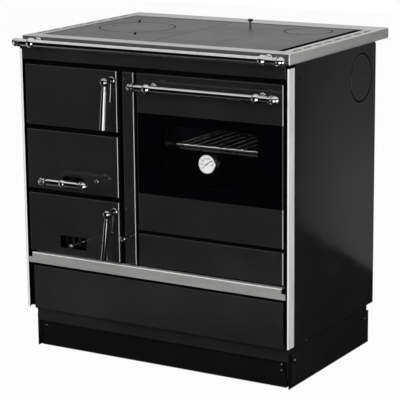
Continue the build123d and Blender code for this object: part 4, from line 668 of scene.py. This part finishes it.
# each head has a place on its sheet and the way it looks out; size is (radius, height)
ahead, right, left, upward = (0, -1, 0), (1, 0, 0), (-1, 0, 0), (0, 0, 1)
heads = {
    "screws": {"size": (0.0028, 0.0018), "crossed": True, "black": False, "at": [
        ((-0.365, -0.21625, 0.057), ahead), ((0.359, -0.21625, 0.060), ahead),
        ((0.359, -0.21625, 0.044), ahead), ((0.386, -0.19525, 0.070), right),
        ((0.386, 0.20975, 0.070), right), ((-0.386, -0.19525, 0.070), left),
        ((-0.386, 0.20975, 0.070), left)]},
    "blankScrew": {"size": (0.0028, 0.0018), "crossed": True, "black": True, "at": [
        ((0.398, 0.14735, 0.739), right)]},
    "panelScrew": {"size": (0.0035, 0.0018), "crossed": True, "black": True, "at": [
        ((0.398, 0.21675, 0.787), right)]},
    "rivets": {"size": (0.0020, 0.0012), "crossed": False, "black": False, "at": [
        ((-0.3845, -0.13025, 0.103), left), ((-0.3845, 0.18075, 0.103), left),
        ((0.3845, -0.13025, 0.103), right), ((0.3845, 0.18075, 0.103), right)]},
    "studs": {"size": (0.0022, 0.0016), "crossed": False, "black": False, "at": [
        ((-0.082, -0.249, 0.823), upward), ((0.050, -0.249, 0.823), upward)]},
    "stopPin": {"size": (0.006, 0.005), "crossed": False, "black": False, "at": [
        ((-0.163, -0.25325, 0.483), ahead)]},
}
headShape = {
    "rings": 15, "around": 40, "domeReach": 0.92, "rim": 0.62, "bow": 0.38,
    "shoulder": ([0.97, 1.0, 1.0, 0.96, 0.0], [0.66, 0.52, 0.1, 0.0, 0.0]),
    "recess": 0.55, "armHalf": 0.16, "armReach": 0.62, "armSlope": 1.6, "endSlope": 4.0,
}


def headShell(kind, place, out):
    # a domed head: r runs from the middle over the dome, round the shoulder, down the side and back
    # under; h = height * (rim + bow * sqrt(1 - (r / radius)^2)) on top, less the cross recess
    radius, height = kind["size"]
    rings, rim, bow = headShape["rings"], headShape["rim"], headShape["bow"]
    dome = np.linspace(0, headShape["domeReach"], rings)
    share = np.concatenate([dome, headShape["shoulder"][0]])
    level = np.concatenate([rim + bow * np.sqrt(1 - dome ** 2), headShape["shoulder"][1]])
    turn = np.linspace(0, 2 * np.pi, headShape["around"], endpoint=False)
    across, upright = share[:, None] * np.cos(turn), share[:, None] * np.sin(turn)
    lift = np.broadcast_to(level[:, None], across.shape).copy()
    if kind["crossed"]:
        arm = np.minimum(np.abs(across), np.abs(upright)) / headShape["armHalf"]
        reach = np.hypot(across, upright) / headShape["armReach"]
        cut = (np.clip(headShape["armSlope"] * (1 - arm), 0, 1)
               * np.clip(headShape["endSlope"] * (1 - reach), 0, 1))
        cut[rings:] = 0
        lift = lift - headShape["recess"] * cut
    out = np.array(out, float)
    aside = np.array([0.0, 1.0, 0.0]) if abs(out[1]) < 0.5 else np.array([1.0, 0.0, 0.0])
    up = np.cross(out, aside)
    points = (np.array(place) + radius * across[..., None] * aside + radius * upright[..., None] * up
              + height * lift[..., None] * out)
    return points.reshape(-1, 3), gridFaces(len(share), len(turn))


for name, slot, black in (("screwHeads", "chrome", False), ("blackScrewHeads", "black_knob", True)):
    shells = [headShell(kind, place, out) for kind in heads.values() if kind["black"] == black
              for place, out in kind["at"]]
    makePiece(name, shells, finishes[slot], "stove", ["screws"])
    print(name, len(shells))

rope = {
    "left": 0.023, "right": 0.323, "low": 0.430, "high": 0.710, "corner": 0.009, "y": -0.2364,
    "half": (0.0040, 0.0019), "pitch": 0.0075, "swell": 0.12,
    "samples": 1500, "round": 20, "cornerSteps": 24,
}


def ropePath(rope):
    # a rounded rectangle in the XZ plane, walked at even steps of its own length
    bend = rope["corner"]
    centres = [(rope["right"] - bend, rope["high"] - bend), (rope["left"] + bend, rope["high"] - bend),
               (rope["left"] + bend, rope["low"] + bend), (rope["right"] - bend, rope["low"] + bend)]
    swing = np.linspace(0, np.pi / 2, rope["cornerSteps"])
    arcs = [np.stack([x + bend * np.cos(way), z + bend * np.sin(way)], -1)
            for (x, z), way in zip(centres, swing + np.arange(4)[:, None] * np.pi / 2)]
    corners = np.concatenate(arcs + [arcs[0][:1]])
    walked = np.concatenate([[0], np.cumsum(np.hypot(*np.diff(corners, axis=0).T))])
    even = np.linspace(0, walked[-1], rope["samples"], endpoint=False)
    return np.stack([np.interp(even, walked, corners[:, k]) for k in (0, 1)], -1), even, walked[-1]


def ropeShell(rope):
    # braided rope carried along the rounded rectangle: the flat oval of the section swells by an eighth
    # where two families of strands, running with and against the turn, come to the surface
    path, even, whole = ropePath(rope)
    ahead = np.roll(path, -1, 0) - np.roll(path, 1, 0)
    ahead /= np.hypot(*ahead.T)[:, None]
    outward = np.stack([ahead[:, 1], -ahead[:, 0]], -1)
    turn = np.linspace(0, 2 * np.pi, rope["round"], endpoint=False)
    strands = round(whole / rope["pitch"])
    phase = np.pi * strands * even[:, None] / whole
    weave = np.sqrt(np.abs(np.sin(phase + 2 * turn) * np.sin(phase - 2 * turn)))
    swell = 1 - rope["swell"] * (1 - weave)
    wide, thick = rope["half"]
    points = np.empty((len(path), len(turn), 3))
    points[..., 0] = path[:, 0, None] + outward[:, 0, None] * wide * np.cos(turn) * swell
    points[..., 1] = rope["y"] + thick * np.sin(turn) * swell
    points[..., 2] = path[:, 1, None] + outward[:, 1, None] * wide * np.cos(turn) * swell
    return points.reshape(-1, 3), loopFaces(len(path), len(turn))


makePiece("sealRope", [ropeShell(rope)], finishes["seal_rope"], "oven_door",
          ["oven_door_seal"])
print("door rope braided")

vents = {
    "x": 0.379, "top": 0.850, "first": -0.176125, "pitch": 0.05625, "count": 8,
    "length": 0.042, "width": 0.008, "lip": 0.0009, "rise": 0.9, "arcSteps": 13, "round": 10,
}


def ventLip(vents, x, y):
    # a pressed lip round one slot: a round bead of the lip's radius, a little flattened, carried along
    # the slot's outline, two straight runs joined by half circles
    half, bend, lip = (vents["length"] - vents["width"]) / 2, vents["width"] / 2, vents["lip"]
    swing = np.linspace(0, np.pi, vents["arcSteps"])
    way = np.concatenate([swing, swing + np.pi])
    shift = np.repeat([half, -half], vents["arcSteps"])
    ring = np.linspace(0, 2 * np.pi, vents["round"], endpoint=False)
    reach = bend + lip * np.cos(ring)
    points = np.empty((len(way), len(ring), 3))
    points[..., 0] = x + np.cos(way)[:, None] * reach
    points[..., 1] = y + shift[:, None] + np.sin(way)[:, None] * reach
    points[..., 2] = vents["top"] + lip * vents["rise"] * np.sin(ring)
    return points.reshape(-1, 3), loopFaces(len(way), len(ring))


shells = [ventLip(vents, side * vents["x"], vents["first"] + k * vents["pitch"])
          for side in (-1, 1) for k in range(vents["count"])]
makePiece("ventLips", shells, finishes["stainless"], "stove")
print("vent lips:", len(shells))

dial = {
    "centre": (0.173, 0.5635), "face": -0.26125, "ink": 0.00005, "start": 222.0, "sweep": 264.0,
    "ticks": 36, "every": 5, "ring": (0.0182, 0.0200, 0.0214), "half": (0.00024, 0.00048),
    "numbers": ["50", "100", "150", "200", "250", "300", "350"],
    "letter": 0.0054, "bold": 0.00012, "at": 0.0143,
}
cover = {"radius": 0.0229, "bow": 0.0011, "thick": 0.0004, "off": 0.0012, "rings": 9, "around": 64}


def tickShells(dial):
    # short flat bars pointing at the middle, every fifth one longer and wider
    count = np.arange(dial["ticks"])
    angle = np.radians(dial["start"] - dial["sweep"] * count / (dial["ticks"] - 1))
    long = count % dial["every"] == 0
    inner = np.where(long, dial["ring"][0], dial["ring"][1])
    outer = np.full_like(inner, dial["ring"][2])
    half = np.where(long, dial["half"][1], dial["half"][0])
    out = np.stack([np.cos(angle), np.sin(angle)], -1)
    side = np.stack([-out[:, 1], out[:, 0]], -1)
    reach = np.stack([inner, inner, outer, outer], -1)
    sway = half[:, None] * np.array([-1, 1, 1, -1])
    flat = np.array(dial["centre"]) + reach[..., None] * out[:, None] + sway[..., None] * side[:, None]
    points = np.empty((len(count), 2, 4, 3))
    points[..., 0], points[..., 2] = flat[:, None, :, 0], flat[:, None, :, 1]
    points[..., 1] = (dial["face"] - np.array([0, 1]) * dial["ink"])[None, :, None]
    box = np.array([(0, 1, 2, 3), (4, 5, 6, 7), (0, 1, 5, 4), (1, 2, 6, 5), (2, 3, 7, 6), (3, 0, 4, 7)])
    faces = (box[None] + 8 * count[:, None, None]).reshape(-1, 4)
    return points.reshape(-1, 3), faces


def numberShells(dial):
    # the scale's numbers, stood upright at even steps of the sweep
    shells = []
    step = dial["every"] / (dial["ticks"] - 1)
    for k, word in enumerate(dial["numbers"]):
        curve = bpy.data.curves.new("number" + word, "FONT")
        curve.body, curve.size, curve.resolution_u = word, dial["letter"], 2
        curve.align_x, curve.align_y, curve.extrude = "CENTER", "CENTER", dial["ink"] / 2
        curve.offset = dial["bold"]
        shape = bpy.data.objects.new("number" + word, curve)
        flat = bpy.data.meshes.new_from_object(shape)
        bpy.data.objects.remove(shape)
        flat.calc_loop_triangles()
        points = np.empty(len(flat.vertices) * 3)
        flat.vertices.foreach_get("co", points)
        faces = np.empty(len(flat.loop_triangles) * 3, int)
        flat.loop_triangles.foreach_get("vertices", faces)
        angle = math.radians(dial["start"] - dial["sweep"] * (k * step))
        x, y, z = points.reshape(-1, 3).T
        placed = np.stack([dial["centre"][0] + dial["at"] * math.cos(angle) + x,
                           dial["face"] - dial["ink"] / 2 - z,
                           dial["centre"][1] + dial["at"] * math.sin(angle) + y], -1)
        shells.append((placed, faces.reshape(-1, 3)))
        bpy.data.meshes.remove(flat)
    return shells


def coverShell(dial, cover):
    # a thin domed lens: the front sheet bows by the bow's height, y = -bow * (1 - (r / radius)^2),
    # the back sheet follows it one thickness behind
    rings = cover["rings"]
    share = np.linspace(0, 1, rings)
    share = np.concatenate([share, share[::-1]])
    back = np.repeat([0.0, cover["thick"]], rings)
    turn = np.linspace(0, 2 * np.pi, cover["around"], endpoint=False)
    points = np.empty((len(share), len(turn), 3))
    points[..., 0] = dial["centre"][0] + cover["radius"] * share[:, None] * np.cos(turn)
    points[..., 1] = (dial["face"] - cover["off"] - cover["bow"] * (1 - share ** 2) + back)[:, None]
    points[..., 2] = dial["centre"][1] + cover["radius"] * share[:, None] * np.sin(turn)
    return points.reshape(-1, 3), gridFaces(len(share), len(turn))


makePiece("dialTicks", [tickShells(dial)], finishes["needle_dark"], "oven_door")
makePiece("dialNumbers", numberShells(dial), finishes["needle_dark"], "oven_door")
makePiece("dialCover", [coverShell(dial, cover)], makeCover(), "oven_door")
print("dial printed and glazed")

# floor, cloth, cards and lights; a grey is the share of white that a mirror sees there. On the cloth,
# along is the way a band of grey lies, starts and turns are where it begins and gets its second grey,
# and the cards stand past their x and y
floor = {"size": 14.0, "grey": 0.8, "rough": 0.9, "white": 0.96}
flag = {
    "profile": [(0.05, 0.001), (0.7, 0.001), (1.78, 0.001), (1.80, 0.02), (2.0, 0.5), (2.02, 1.0)],
    "rise": 1.1, "steps": 96, "soft": 0.05,
    "front": {"along": (-0.51, -0.86), "starts": (0.45, 0.8), "turns": (0.9, 1.5), "grey": (0.12, 0.005)},
    "back": {"along": (-0.857, 0.515), "starts": (-0.50, -0.12), "grey": (0.0, 0.285),
             "slope": 0.9, "line": (0.245, 0.275), "fades": (0.05, 0.6), "fade": 0.6},
    "card": {"x": 0.32, "y": -1.15, "top": 0.80, "glow": 3.5},
    "leftCard": {"x": -1.45, "glow": 0.35},
    "rightCard": {"x": 1.45, "y": (-0.60, 1.05), "glow": 2.6},
}
lamps = {
    "key": {"place": (3.0, -1.7, 2.9), "aim": (0, 0, 0.45), "size": (2.0, 2.0), "power": 40.0},
    "front": {"place": (-1.3, -3.4, 2.0), "aim": (0, 0, 0.45), "size": (2.4, 1.4), "power": 60.0},
    "over": {"place": (-0.3, 0.2, 3.2), "aim": (0, 0, 0.45), "size": (3.0, 2.4), "power": 40.0},
    "oven": {"place": (0.173, -0.16, 0.700), "aim": (0.173, 0.0, 0.58), "size": (0.26, 0.04), "power": 5.0},
}
airLight = 0.30


def seenDirectly(graph):
    # 1 where the camera, a mirror or a see-through surface looks, 0 where light is gathered
    camera, mirror, through = (graph.add("ShaderNodeLightPath", output="Is " + ray + " Ray")
                               for ray in ("Camera", "Glossy", "Transmission"))
    return camera.most(mirror).most(through)


def standPiece(name, points, faces, paint):
    mesh = bpy.data.meshes.new(name)
    mesh.from_pydata(points, [], faces)
    mesh.materials.append(paint.material)
    piece = bpy.data.objects.new(name, mesh)
    bpy.context.scene.collection.objects.link(piece)
    return piece


def layFloor(floor):
    # a flat sheet under the stove: nearly white to whoever looks, with a little of the stove's own
    # shadow let in; to light it is pale paper
    half = floor["size"] / 2
    paint = Finish("floorPaper", Base_Color=(floor["grey"],) * 3, Roughness=floor["rough"],
                   Specular_IOR_Level=0.0)
    glow = paint.add("ShaderNodeEmission", {}, {"Color": (1, 1, 1), "Strength": 1.0})
    paint.cross(seenDirectly(paint) * floor["white"], glow)
    corners = [(-half, -half, 0), (half, -half, 0), (half, half, 0), (-half, half, 0)]
    standPiece("floorSheet", corners, [(0, 1, 2, 3)], paint)


def paintFlag(flag):
    # the cloth's greys and the glow of its cards, by place
    paint = Finish("flagCloth", Base_Color=(0, 0, 0), Roughness=1.0, Specular_IOR_Level=0.0,
                   Emission_Strength=1.0)
    x, y, z = paint.axes()
    soft, front, back = flag["soft"], flag["front"], flag["back"]
    low, high = front["grey"]
    reach = x * front["along"][0] + y * front["along"][1]
    ahead = reach.smooth(*front["starts"]) * (low + reach.smooth(*front["turns"]) * (high - low))
    # behind, past a slanting line, a grey sheet that the side panel mirrors
    low, high = back["grey"]
    reach = x * back["along"][0] + y * back["along"][1]
    behind = reach.smooth(*back["starts"]) * (high - low) + low
    behind = (behind * (y - x * back["slope"]).smooth(*back["line"])
              * (1 - z.smooth(*back["fades"]) * back["fade"]))
    # a white card at the right front puts light on handles and posts; paler ones stand at both sides
    card, left, right = (flag[key] for key in ("card", "leftCard", "rightCard"))
    white = (x.smooth(card["x"] - soft, card["x"] + soft)
             * (1 - y.smooth(card["y"] - soft, card["y"] + soft)) * card["glow"])
    pale = (1 - x.smooth(left["x"] - soft, left["x"] + soft)) * left["glow"]
    near, far = right["y"]
    beside = x.above(right["x"]) * y.above(near) * (1 - y.above(far)) * right["glow"]
    wall = 1 - z.smooth(card["top"] - soft, card["top"] + soft)
    grey = ahead.most(behind) + (white + pale + beside) * wall
    paint.wear(Emission_Color=paint.add("ShaderNodeCombineColor", {},
                                        {"Red": grey, "Green": grey, "Blue": grey}))
    return paint


def standFlag(flag):
    # the dark cloth that keeps gloss black and gives chrome its lower half: the profile is turned
    # about the upright axis and stands higher in front, point = (r cos t, r sin t, z grown by
    # (1 - sin t) / 2 of the rise), and only reflections see it
    steps = flag["steps"]
    turn = np.linspace(0, 2 * np.pi, steps + 1)
    r, z = np.array(flag["profile"]).T
    high = z[:, None] * (1 + flag["rise"] * (1 - np.sin(turn)) / 2)
    points = np.stack([r[:, None] * np.cos(turn), r[:, None] * np.sin(turn), high], -1).reshape(-1, 3)
    rows, columns = np.meshgrid(np.arange(len(r) - 1), np.arange(steps), indexing="ij")
    first = (rows * (steps + 1) + columns).ravel()
    faces = np.stack([first, first + 1, first + steps + 2, first + steps + 1], -1)
    cloth = standPiece("darkFlag", points.tolist(), faces.tolist(), paintFlag(flag))
    for seenBy in ("camera", "diffuse", "shadow", "transmission", "volume_scatter"):
        setattr(cloth, "visible_" + seenBy, False)


def fillAir(airLight):
    # the world: soft light for surfaces, plain white where anything looks straight at it
    world = bpy.data.worlds.new("studioAir")
    bpy.context.scene.world = world
    world.use_nodes = True
    air = Graph(world.node_tree)
    back = world.node_tree.nodes["Background"]
    air.feed(back.inputs["Color"], (1, 1, 1))
    seen = seenDirectly(air)
    air.feed(back.inputs["Strength"], seen.calc("MULTIPLY_ADD", seen, 1 - airLight, airLight))


def hangLight(name, look):
    data = bpy.data.lights.new(name, "AREA")
    data.shape, (data.size, data.size_y) = "RECTANGLE", look["size"]
    data.energy = look["power"]
    lamp = bpy.data.objects.new(name, data)
    turn = (Vector(look["aim"]) - Vector(look["place"])).to_track_quat("-Z", "Y").to_matrix().to_4x4()
    lamp.matrix_world = Matrix.Translation(look["place"]) @ turn
    lamp.visible_camera = False
    lamp.visible_glossy = False
    bpy.context.scene.collection.objects.link(lamp)


layFloor(floor)
standFlag(flag)
fillAir(airLight)
for name, look in lamps.items():
    hangLight(name + "Light", look)
print("studio lit")
